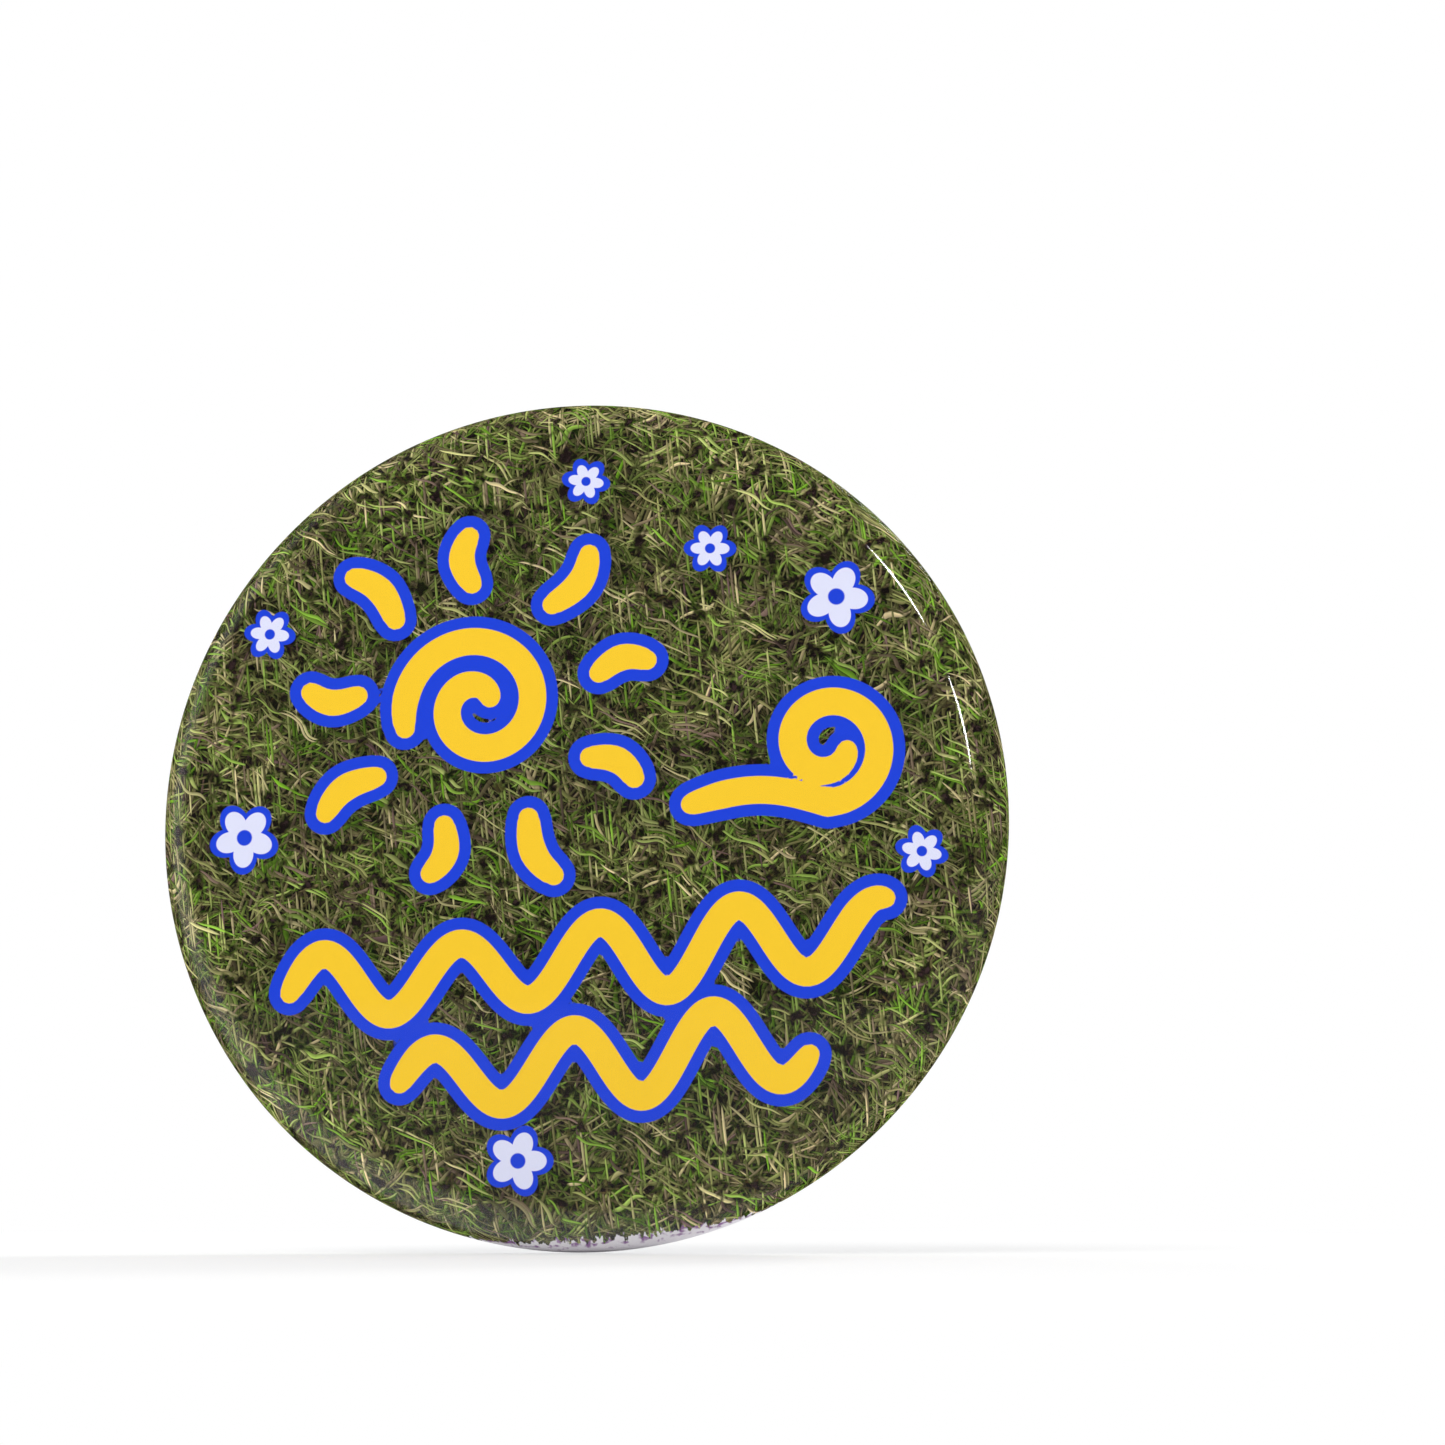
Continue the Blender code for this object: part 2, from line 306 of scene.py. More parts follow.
class Skin:
    """A closed mesh put together from grids of points, each with values at its points."""

    def __init__(self) -> None:
        """Start with nothing."""
        self.points: list[Array] = []
        self.faces: list[Array] = []
        self.values: dict[str, list[Array]] = {}
        self.count = 0

    def add(self, grid: Array, **values: Array) -> None:
        """Add a grid of points, (rows, columns, 3), as one sheet of quads.

        Every row is a closed loop: its last column joins its first.

        Args:
            grid: World points.
            values: Named values of the grid's points, (rows, columns) or (rows, columns, 3).
        """
        rows, columns = grid.shape[:2]
        index = self.count + np.arange(rows * columns).reshape(rows, columns)
        index = np.concatenate([index, index[:, :1]], axis=1)
        quads = np.stack([index[:-1, :-1], index[1:, :-1], index[1:, 1:], index[:-1, 1:]], axis=-1)
        self.points.append(grid.reshape(-1, 3))
        self.faces.append(quads.reshape(-1, 4))
        for name, value in values.items():
            self.values.setdefault(name, []).append(value.reshape(rows * columns, -1))
        self.count += rows * columns

    def finish(self, name: str, crease: float = math.radians(40.0)) -> bpy.types.Object:
        """Weld the grids, turn their faces outwards and make the object.

        Args:
            name: The piece's name.
            crease: Edges that bend more than this angle stay sharp.

        Returns:
            The new object, at the origin.
        """
        mesh = bpy.data.meshes.new(name)
        mesh.from_pydata(np.concatenate(self.points).tolist(), [],
                         np.concatenate(self.faces).tolist())
        for label, parts in self.values.items():
            data = np.concatenate(parts).astype(np.float32)
            kind, key = ("FLOAT", "value") if data.shape[1] == 1 else ("FLOAT_VECTOR", "vector")
            mesh.attributes.new(label, kind, "POINT").data.foreach_set(key, data.ravel())
        work = bmesh.new()
        work.from_mesh(mesh)
        bmesh.ops.remove_doubles(work, verts=work.verts, dist=WELD)
        bmesh.ops.recalc_face_normals(work, faces=work.faces)
        work.to_mesh(mesh)
        work.free()
        mesh.shade_smooth()
        mesh.set_sharp_from_angle(angle=crease)
        return linked(name, mesh)


def turn(profile: Array, angles: Array) -> Array:
    """A profile turned round the bench's z, as world points.

    A point is (r cos a, r sin a, z) at angle a.

    Args:
        profile: (r, z) points, (rows, 2).
        angles: Where it is placed, in radians.

    Returns:
        A grid, (rows, angles, 3).
    """
    radius, height = profile[:, :1], profile[:, 1:]
    return to_world(np.stack([radius * np.cos(angles), radius * np.sin(angles),
                              height + 0.0 * angles], axis=-1))


def tube(name: str, path: Array, radii: Union[float, Array], reference: Sequence[float],
         sides: int) -> bpy.types.Object:
    """Carry a circle along a path, close both ends and make the piece.

    At each station the circle's axes are the part of the reference that is square to the path,
    and the cross product of the path's direction with it. The value `grain` of a point is
    (distance along in mm, cos, sin) of its place round the wire.

    Args:
        name: The piece's name.
        path: Bench points of the wire's middle.
        radii: One radius, or one for each station.
        reference: A bench direction that the path never runs along.
        sides: Number of sides.

    Returns:
        The piece.
    """
    forward = np.gradient(path, axis=0)
    forward /= np.linalg.norm(forward, axis=1, keepdims=True)
    across = np.asarray(reference) - (forward @ np.asarray(reference))[:, None] * forward
    across /= np.linalg.norm(across, axis=1, keepdims=True)
    up = np.cross(forward, across)
    turns = np.linspace(0.0, 2 * math.pi, sides, endpoint=False)
    sizes = np.broadcast_to(radii, len(path))
    ends = np.concatenate([[0], np.arange(len(path)), [len(path) - 1]])
    sizes = np.concatenate([[0.0], sizes, [0.0]])
    ring = (np.cos(turns)[None, :, None] * across[ends][:, None]
            + np.sin(turns)[None, :, None] * up[ends][:, None])
    grid = path[ends][:, None] + sizes[:, None, None] * ring
    shape = (len(ends), sides)
    grain = np.stack([np.broadcast_to((along(path) / MM)[ends][:, None], shape),
                      np.broadcast_to(np.cos(turns), shape),
                      np.broadcast_to(np.sin(turns), shape)], axis=-1)
    skin = Skin()
    skin.add(to_world(grid), grain=grain)
    return skin.finish(name)


# ---------------------------------------------------------------- shader building


Feed = Union["Value", bpy.types.NodeSocket, float, Sequence[float]]
Settings = Optional[dict[str, Any]]
Inputs = Optional[dict[Union[str, int], Feed]]


class Value:
    """A number that a node gives out, to be used in sums."""

    def __init__(self, shade: "Shade", socket: bpy.types.NodeSocket) -> None:
        """Wrap a socket of a shade's tree."""
        self.shade = shade
        self.socket = socket

    def sum(self, operation: str, *others: Feed, first: Optional[Feed] = None) -> "Value":
        """Add a Math node on this value.

        Args:
            operation: The Math node's operation.
            others: What comes after this value.
            first: What comes before it, where this value is the second.

        Returns:
            The node's result.
        """
        feeds = ([self] if first is None else [first, self]) + list(others)
        return self.shade.value("ShaderNodeMath", {"operation": operation},
                                dict(enumerate(feeds)))

    def __add__(self, other: Feed) -> "Value":
        """This plus other."""
        return self.sum("ADD", other)

    __radd__ = __add__

    def __mul__(self, other: Feed) -> "Value":
        """This times other."""
        return self.sum("MULTIPLY", other)

    __rmul__ = __mul__

    def __sub__(self, other: Feed) -> "Value":
        """This less other."""
        return self.sum("SUBTRACT", other)

    def __rsub__(self, other: Feed) -> "Value":
        """Other less this."""
        return self.sum("SUBTRACT", first=other)

    def __truediv__(self, other: Feed) -> "Value":
        """This over other."""
        return self.sum("DIVIDE", other)

    def __pow__(self, other: Feed) -> "Value":
        """This to the power of other."""
        return self.sum("POWER", other)

    def ramp(self, low: float, high: float) -> "Value":
        """A smooth step: 0 where this is at low, 1 where it is at high."""
        return self.shade.value("ShaderNodeMapRange", {"interpolation_type": "SMOOTHSTEP"},
                                {"Value": self, "From Min": low, "From Max": high})


class Shade:
    """The node tree of a material or of the world."""

    def __init__(self, owner: Union[bpy.types.Material, bpy.types.World]) -> None:
        """Start its tree afresh."""
        self.owner = owner
        owner.use_nodes = True
        self.tree = owner.node_tree
        self.tree.nodes.clear()

    @classmethod
    def named(cls, name: str) -> "Shade":
        """Start a new material of that name."""
        return cls(bpy.data.materials.new(name))

    def node(self, kind: str, settings: Settings = None, inputs: Inputs = None) -> bpy.types.Node:
        """Add a node.

        Args:
            kind: Its type.
            settings: Its properties. The entry `stops` sets a colour ramp's (place, colour).
            inputs: Values or links of its sockets, by name or place.

        Returns:
            The node.
        """
        made = self.tree.nodes.new(kind)
        settings = dict(settings or {})
        stops = settings.pop("stops", None)
        for name, value in settings.items():
            setattr(made, name, value)
        if stops:
            ramp = made.color_ramp
            while len(ramp.elements) < len(stops):
                ramp.elements.new(0.5)
            for element, (place, colour) in zip(ramp.elements, stops):
                element.position, element.color = place, (*colour, 1.0)
        for name, value in (inputs or {}).items():
            socket = made.inputs[name]
            if isinstance(value, Value):
                value = value.socket
            if isinstance(value, bpy.types.NodeSocket):
                self.tree.links.new(value, socket)
            elif socket.type == "RGBA" and len(value) == 3:
                socket.default_value = (*value, 1.0)
            else:
                socket.default_value = value
        return made

    def value(self, kind: str, settings: Settings, inputs: Inputs,
              output: Union[str, int] = 0) -> Value:
        """Add a node and wrap one of its outputs."""
        return Value(self, self.node(kind, settings, inputs).outputs[output])

    def place(self, kind: str = "Object") -> bpy.types.NodeSocket:
        """The point's coordinates of one kind. The Object ones are in metres."""
        return self.node("ShaderNodeTexCoord").outputs[kind]

    def ray(self, kind: str) -> Value:
        """1 for a ray of that kind, such as Camera, and 0 for any other."""
        return self.value("ShaderNodeLightPath", None, None, f"Is {kind} Ray")

    def attribute(self, name: str, output: str = "Fac") -> Value:
        """One of the mesh's own values: a number, or with the output Vector a vector."""
        return self.value("ShaderNodeAttribute", {"attribute_name": name}, None, output)

    def vector(self, operation: str, *feeds: Feed, output: Union[str, int] = 0) -> Value:
        """Add a Vector Math node and wrap one of its outputs."""
        return self.value("ShaderNodeVectorMath", {"operation": operation},
                          dict(enumerate(feeds)), output)

    def mapped(self, vector: Feed, scale: Sequence[float], turn_by: float = 0.0,
               move: Sequence[float] = (0.0, 0.0, 0.0)) -> bpy.types.NodeSocket:
        """A vector moved by -move, turned by -turn_by about z and divided by scale.

        Args:
            vector: The vector.
            scale: What each of its parts is divided by.
            turn_by: The angle, in radians.
            move: The shift.

        Returns:
            The socket of the new vector.
        """
        inputs = {"Vector": vector, "Location": move, "Rotation": (0.0, 0.0, turn_by),
                  "Scale": scale}
        return self.node("ShaderNodeMapping", {"vector_type": "TEXTURE"}, inputs).outputs[0]

    def noise(self, vector: Feed, scale: float, detail: float = 2.0,
              output: str = "Fac") -> Value:
        """Noise from 0 to 1 about a half."""
        return self.value("ShaderNodeTexNoise", {"noise_dimensions": "3D"},
                          {"Vector": vector, "Scale": scale, "Detail": detail}, output)

    def lumps(self, vector: Feed, cell: Sequence[float], detail: float = 2.0) -> Value:
        """Noise whose lumps are about as long as the cell each way."""
        return self.noise(self.mapped(vector, cell), 1.0, detail)

    def mix(self, factor: Feed, first: Feed, second: Feed) -> Value:
        """Mix two colours."""
        return self.value("ShaderNodeMix", {"data_type": "RGBA"},
                          {0: factor, 6: first, 7: second}, 2)

    def tint(self, colour: Feed, brightness: Feed) -> Value:
        """A colour times a number."""
        return self.value("ShaderNodeVectorMath", {"operation": "SCALE"},
                          {0: colour, "Scale": brightness})

    def bump(self, height: Feed, depth: float, strength: float) -> bpy.types.NodeSocket:
        """A normal bent by a height from 0 to 1 that stands for a depth in metres."""
        return self.node("ShaderNodeBump", None,
                         {"Height": height, "Distance": depth, "Strength": strength}).outputs[0]

    def close(self, shader: bpy.types.Node, output: str = "ShaderNodeOutputMaterial") -> None:
        """End the tree with that shader."""
        self.node(output, None, {"Surface": shader.outputs[0]})

    def principled(self, inputs: Inputs) -> bpy.types.Material:
        """End the tree with a Principled shader and give back the material."""
        self.close(self.node("ShaderNodeBsdfPrincipled", None, inputs))
        return self.owner


# ---------------------------------------------------------------- artwork


@dataclass(frozen=True)
class Flower:
    """A small printed flower: its middle in mm, as seen from the front, its size and petals."""

    x: float
    z: float
    size: float
    petals: int
    turn: float


@dataclass(frozen=True)
class Artwork:
    """Generic picture on the face: a curled sun, a breeze, two waves and small flowers.

    Lengths are in mm on the flattened print, x to the right and z up as seen from the front.
    """

    pen: float = 0.92
    pen_tip: float = 0.72
    pen_taper: float = 2.2
    outline: float = 0.78
    sun: Pair = (-6.4, 7.4)
    sun_points: int = 90
    curl_turns: float = 1.45
    curl_start: float = 0.9
    curl_end: float = 5.2
    curl_lean: float = 0.6
    rays: int = 9
    ray_points: int = 12
    ray_from: float = 8.3
    ray_to: float = 11.6
    ray_longer: float = 0.9
    ray_lean: float = 0.25
    ray_sway: float = 0.06
    wave_points: int = 150
    wave_length: float = 9.2
    wave_height: float = 2.3
    wave_slope: float = 0.10
    wave_swell: float = 0.12
    swell_length: float = 5.0
    waves: tuple[Triple, ...] = ((-19.0, 20.5, -9.7), (-11.5, 15.5, -16.4))
    breeze: Pair = (7.8, 0.6)
    breeze_points: tuple[int, int] = (40, 60)
    breeze_join: float = 0.03
    breeze_run: float = 9.0
    breeze_rise: float = 0.9
    breeze_curl: float = 3.9
    breeze_turns: float = 1.2
    breeze_narrows: float = 0.66
    batch: int = 20000
    flowers: tuple[Flower, ...] = (
        Flower(17.4, 14.4, 2.1, 5, 0.3), Flower(9.0, 17.8, 1.3, 6, 0.1),
        Flower(22.9, -2.6, 1.3, 6, 0.7), Flower(-20.9, 12.6, 1.35, 6, 0.4),
        Flower(-22.3, -1.2, 2.0, 5, 0.9), Flower(-3.6, -22.6, 1.9, 5, 0.0),
        Flower(0.6, 22.6, 1.2, 6, 0.5))

    def strokes(self) -> list[Array]:
        """The pen's strokes, each as (x, z, radius) stations.

        The sun's middle is a spiral, r growing in step with the angle. Its rays are short lines
        bent a little to one side. A wave is a sloping line plus a sine. The breeze is a low
        arch that ends in a spiral winding in. Every stroke narrows a little at its ends.

        Returns:
            One array of stations for each stroke.
        """
        angle = np.linspace(0.0, 2 * math.pi * self.curl_turns, self.sun_points)
        reach = np.linspace(self.curl_start, self.curl_end, self.sun_points)
        found = [polar(self.sun, reach, angle + self.curl_lean)]
        out = np.linspace(self.ray_from, self.ray_to, self.ray_points)
        sway = self.ray_sway * np.sin(np.linspace(0.0, math.pi, self.ray_points))
        longer = self.ray_longer * np.linspace(0.0, 1.0, self.ray_points)
        for ray in range(self.rays):
            lean = 2 * math.pi * ray / self.rays + self.ray_lean
            found.append(polar(self.sun, out + ray % 2 * longer, lean + sway * (-1) ** ray))
        for left, right, level in self.waves:
            x = np.linspace(left, right, self.wave_points)
            swell = 1.0 + self.wave_swell * np.sin(x / self.swell_length)
            z = (level + self.wave_slope * x
                 + self.wave_height * swell * np.sin(2 * math.pi * (x - left) / self.wave_length))
            found.append(np.stack([x, z], axis=1))
        x, z = self.breeze
        share = np.linspace(0.0, 1.0, self.breeze_points[0])
        arch = np.stack([x + self.breeze_run * share,
                         z + self.breeze_rise * np.sin(math.pi * share)], axis=1)
        share = np.linspace(self.breeze_join, 1.0, self.breeze_points[1])
        curl = polar((x + self.breeze_run, z + self.breeze_curl),
                     self.breeze_curl * (1.0 - self.breeze_narrows * share),
                     2 * self.breeze_turns * math.pi * share - math.pi / 2)
        found.append(np.concatenate([arch, curl]))
        return [self.penned(line) for line in found]

    def penned(self, line: Array) -> Array:
        """A line with the pen's radius at each station, which thins towards both ends.

        The radius follows the square root of the distance from the nearer end.

        Args:
            line: The line's points.

        Returns:
            (x, z, radius) stations.
        """
        length = along(line)[-1]
        share = along(line) / length
        ends = np.clip(np.minimum(share, 1.0 - share) * length / self.pen_taper, 0.0, 1.0)
        thickness = self.pen_tip + (1.0 - self.pen_tip) * np.sqrt(ends)
        return np.column_stack([line, self.pen * thickness])

    def distance(self, places: Array) -> Array:
        """Distance of each place from the edge of the nearest stroke, below 0 inside it.

        It is the least, over all stretches of all strokes, of the distance to the stretch less
        the pen's radius there.

        Args:
            places: (n, 2) points in mm.

        Returns:
            n distances in mm.
        """
        best = np.full(len(places), np.inf)
        for stroke in self.strokes():
            start, end = stroke[:-1, :2], stroke[1:, :2]
            run = end - start
            for low in range(0, len(places), self.batch):
                batch = slice(low, low + self.batch)
                part = places[batch, None]
                share = ((part - start) * run).sum(-1) / (run ** 2).sum(-1)
                share = np.clip(share, 0.0, 1.0)
                width = stroke[:-1, 2] + share * (stroke[1:, 2] - stroke[:-1, 2])
                away = np.linalg.norm(part - start - share[..., None] * run, axis=-1) - width
                best[batch] = np.minimum(best[batch], away.min(axis=1))
        return best


# ---------------------------------------------------------------- finishes


@dataclass(frozen=True)
class BladeLayer:
    """One layer of grass blades in the print: all lie about one way.

    Lengths in mm. Tone picks the layer's colours: 0 is the deepest layer and 1 the top one.
    """

    angle: float
    length: float
    width: float
    fill: float
    tone: float


@dataclass(frozen=True)
class TurfPrint:
    """Printed paper: a photo-like lawn with the artwork over it, under a clear gloss film.

    The picture is cut a little short: past picture_end mm in the direction picture_foot from
    the middle, bare paper shows with a frayed, tinged edge. Lengths are in mm, scales are
    lumps to the mm, and a pair for a light or a size is its start and its gain.
    """

    artwork: Artwork
    soil: Colour = srgb(24, 14, 13)
    root: Colour = srgb(58, 42, 42)
    yellow: Colour = srgb(246, 201, 48)
    blue: Colour = srgb(31, 66, 214)
    pale: Colour = srgb(222, 224, 247)
    paper: Colour = srgb(240, 236, 242)
    tinge: Colour = srgb(146, 104, 158)
    picture_foot: Triple = (0.094, -0.996, 0.0)
    picture_end: float = 27.9
    fray_depth: float = 2.6
    fray_cell: Triple = (0.34, 1.1, 1.0)
    bare_edge: Pair = (-0.06, 0.10)
    tinge_scale: float = 1.6
    tinge_cover: Pair = (0.48, 0.62)
    tinge_width: Pair = (0.2, 1.2)
    petal_outline: float = 0.46
    petal_hollow: Pair = (0.58, 0.42)
    petal_middle: Pair = (0.24, 0.29)
    print_edge: float = 0.035
    layer_seed: int = 41
    layer_count: int = 19
    layer_fill: Pair = (0.34, -0.04)
    layer_shift: Pair = (13.7, -9.1)
    layer_light: Pair = (0.40, 0.62)
    golden_turn: float = 0.381966
    turn_spread: float = 0.2
    blade_lengths: Pair = (2.8, 5.0)
    blade_widths: Pair = (0.25, 0.34)
    blade_grown: Pair = (0.44, 0.49)
    blade_edge: Pair = (0.82, 1.10)
    blade_shade: Pair = (0.70, 1.75)
    blade_sizes: Pair = (0.52, 0.66)
    blade_light: Pair = (0.26, 0.98)
    blade_side: float = 1.5
    shade_depth: float = 0.72
    soil_scale: float = 2.4
    root_cover: Pair = (0.42, 0.66)
    bends: tuple[tuple[float, float, Triple], ...] = (
        (0.30, 1.0, (2.4, 2.4, 0.0)), (0.42, 0.0, (-2.0, 2.0, 0.0)))
    tuft_scale: float = 0.80
    tuft_from: Pair = (0.27, 0.11)
    tuft_to: Pair = (0.36, 0.13)
    patch_scale: float = 0.09
    patch_light: Pair = (0.75, 0.46)
    near_light: Pair = (0.60, 0.40)
    near_reach: Pair = (0.9, 5.6)
    grain_scale: float = 9.0
    grain_light: Pair = (0.975, 0.05)
    roughness: float = 0.6
    coat_roughness: float = 0.05
    coat_fade: Pair = (0.34, 0.56)
    greens: tuple[tuple[float, tuple[int, int, int], tuple[int, int, int]], ...] = (
        (0.00, (74, 52, 54), (134, 104, 102)), (0.16, (80, 70, 40), (156, 148, 98)),
        (0.40, (90, 94, 40), (174, 180, 106)), (0.60, (70, 106, 18), (128, 186, 42)),
        (0.82, (106, 110, 48), (196, 198, 126)), (1.00, (142, 112, 66), (240, 220, 170)))

    def layers(self) -> list[BladeLayer]:
        """Draw the layers' angles and sizes from the seed.

        Returns:
            The layers, from the deepest to the top.
        """
        draw = np.random.default_rng(self.layer_seed)
        found = []
        for number in range(self.layer_count):
            tone = number / (self.layer_count - 1)
            angle = (math.pi * (number * self.golden_turn % 1.0)
                     + draw.uniform(-self.turn_spread, self.turn_spread))
            found.append(BladeLayer(angle, draw.uniform(*self.blade_lengths),
                                    draw.uniform(*self.blade_widths),
                                    graded(tone, *self.layer_fill), tone))
        return found

    def blades(self, shade: Shade, spot: Feed, number: int,
               layer: BladeLayer) -> tuple[Value, Value, Value]:
        """One layer's mask, the shade that it throws, and its colour.

        Voronoi cells stretched along the layer's angle each hold one lens-shaped blade. The
        cell's own colour gives three random numbers: one picks the blade's colour, one its
        brightness and one its size. One side of a blade is lighter than the other.

        Args:
            shade: The tree that is being built.
            spot: Place on the flattened print, in mm.
            number: The layer's number, which moves its cells.
            layer: The layer.

        Returns:
            The mask and the shade below it, from 0 to 1, and the colour.
        """
        across, up = self.layer_shift
        stretched = shade.mapped(spot, (layer.length, layer.width, 1.0), layer.angle,
                                 (across * number, up * number, 0.0))
        cells = shade.node("ShaderNodeTexVoronoi", {"voronoi_dimensions": "2D"},
                           {"Vector": stretched, "Scale": 1.0})
        chance = shade.node("ShaderNodeSeparateColor", None, {0: cells.outputs["Color"]})
        pick, light, size = (Value(shade, chance.outputs[i]) for i in range(3))
        side = shade.value("ShaderNodeSeparateXYZ", None,
                           {0: shade.vector("SUBTRACT", stretched, cells.outputs["Position"])},
                           "Y")
        half = layer.fill * graded(size, *self.blade_sizes)
        reach = Value(shade, cells.outputs["Distance"]) / half
        grown = size.ramp(*self.blade_grown)
        mask = grown * (1.0 - reach.ramp(*self.blade_edge))
        below = grown * (1.0 - reach.ramp(*self.blade_shade))
        lit = layer.tone ** 1.5
        stops = [(place, tuple((1.0 - lit) * np.array(srgb(*low)) + lit * np.array(srgb(*high))))
                 for place, low, high in self.greens]
        colour = shade.node("ShaderNodeValToRGB", {"stops": stops}, {0: pick}).outputs[0]
        shine = (graded(lit, *self.layer_light) * graded(light, *self.blade_light)
                 * (1.0 + self.blade_side * side))
        return mask, below, shade.tint(colour, shine)

    def lawn(self, shade: Shade, spot: Feed) -> Value:
        """The lawn's colour: soil, then the blades of every layer laid over it.

        The layers take turns at three sets of places, of which two are bent by slow noise.

        Args:
            shade: The tree that is being built.
            spot: Place on the flattened print, in mm.

        Returns:
            The colour.
        """
        spots = [shade.vector("MULTIPLY_ADD", shade.noise(spot, scale, detail, "Color"), push,
                              spot)
                 for scale, detail, push in self.bends] + [spot]
        tufts = shade.noise(spot, self.tuft_scale)
        roots = shade.noise(spot, self.soil_scale, 3.0).ramp(*self.root_cover)
        colour = shade.mix(roots, self.soil, self.root)
        for number, layer in enumerate(self.layers()):
            place = spots[number % len(spots)]
            mask, below, blade = self.blades(shade, place, number, layer)
            thin = tufts.ramp(graded(layer.tone, *self.tuft_from),
                              graded(layer.tone, *self.tuft_to))
            shaded = shade.tint(colour, 1.0 - self.shade_depth * below * thin)
            colour = shade.mix(mask * thin, shaded, blade)
        patches = shade.noise(spot, self.patch_scale)
        return shade.tint(colour, graded(patches, *self.patch_light))

    def flowers(self, shade: Shade, spot: Feed) -> tuple[Value, Value]:
        """How far outside the nearest flower's edge a place is, and how near a flower's middle.

        A flower's edge is at size * (a + b |cos(petals * angle / 2)|) from its middle, with the
        pair petal_hollow as a and b.

        Args:
            shade: The tree that is being built.
            spot: Place on the flattened print, in mm.

        Returns:
            The distance in mm, and the distance from the middle as a share of the flower's size.
        """
        split = shade.node("ShaderNodeSeparateXYZ", None, {0: spot})
        x, z = Value(shade, split.outputs[0]), Value(shade, split.outputs[1])
        outside, middle = None, None
        for flower in self.artwork.flowers:
            right, up = x - flower.x, z - flower.z
            reach = (right * right + up * up) ** 0.5
            angle = up.sum("ARCTAN2", right)
            petals = (angle * (flower.petals / 2) + flower.turn).sum("COSINE").sum("ABSOLUTE")
            edge = reach - flower.size * graded(petals, *self.petal_hollow)
            core = reach / flower.size
            outside = edge if outside is None else outside.sum("MINIMUM", edge)
            middle = core if middle is None else middle.sum("MINIMUM", core)
        return outside, middle

    def make(self) -> bpy.types.Material:
        """Make the material. The mesh's `flat_place` and `stroke` values carry its pattern.

        Returns:
            The material.
        """
        shade = Shade.named("turf_print")
        spot = shade.attribute("flat_place", "Vector")
        stroke = shade.attribute("stroke")
        petal, middle = self.flowers(shade, spot)
        low = shade.vector("DOT_PRODUCT", spot, self.picture_foot, output="Value")
        fray = shade.lumps(spot, self.fray_cell)
        bare = low + self.fray_depth * (fray - 0.5) - self.picture_end
        near = stroke.sum("MINIMUM", petal + self.near_reach[0]).ramp(*self.near_reach)
        lawn = shade.tint(self.lawn(shade, spot), graded(near, *self.near_light))
        tinge = (shade.noise(spot, self.tinge_scale, 1.0).ramp(*self.tinge_cover)
                 * (1.0 - bare.ramp(*self.tinge_width)))
        lawn = shade.mix(bare.ramp(*self.bare_edge), lawn,
                         shade.mix(tinge, self.paper, self.tinge))
        soft, line, rim = self.print_edge, self.artwork.outline, self.petal_outline
        colour = shade.mix(1.0 - stroke.ramp(line - soft, line + soft), lawn, self.blue)
        colour = shade.mix(1.0 - petal.ramp(rim - soft, rim + soft), colour, self.blue)
        petals = (1.0 - petal.ramp(-soft, soft)) * middle.ramp(*self.petal_middle)
        colour = shade.mix(petals, colour, self.pale)
        colour = shade.mix(1.0 - stroke.ramp(-soft, soft), colour, self.yellow)
        grain = shade.noise(spot, self.grain_scale, 1.0)
        facing = shade.value("ShaderNodeLayerWeight", None, {"Blend": 0.5}, "Facing")
        return shade.principled({
            "Base Color": shade.tint(colour, graded(grain, *self.grain_light)),
            "Roughness": self.roughness, "Specular IOR Level": 0.0,
            "Coat Roughness": self.coat_roughness,
            "Coat Weight": 1.0 - facing.ramp(*self.coat_fade)})


@dataclass(frozen=True)
class ClearFilm:
    """Clear film: nearly nothing of it shows.

    Its gloss is a clear coat on the print, so that it is kept where a viewer drops the film.
    """

    gloss: float = 0.004
    roughness: float = 0.03

    def make(self) -> bpy.types.Material:
        """The material: a mirror that lets through all but a small share of the light."""
        shade = Shade.named("clear_film")
        return shade.principled({"Base Color": (1.0, 1.0, 1.0), "Metallic": 1.0,
                                 "Roughness": self.roughness, "Alpha": self.gloss})


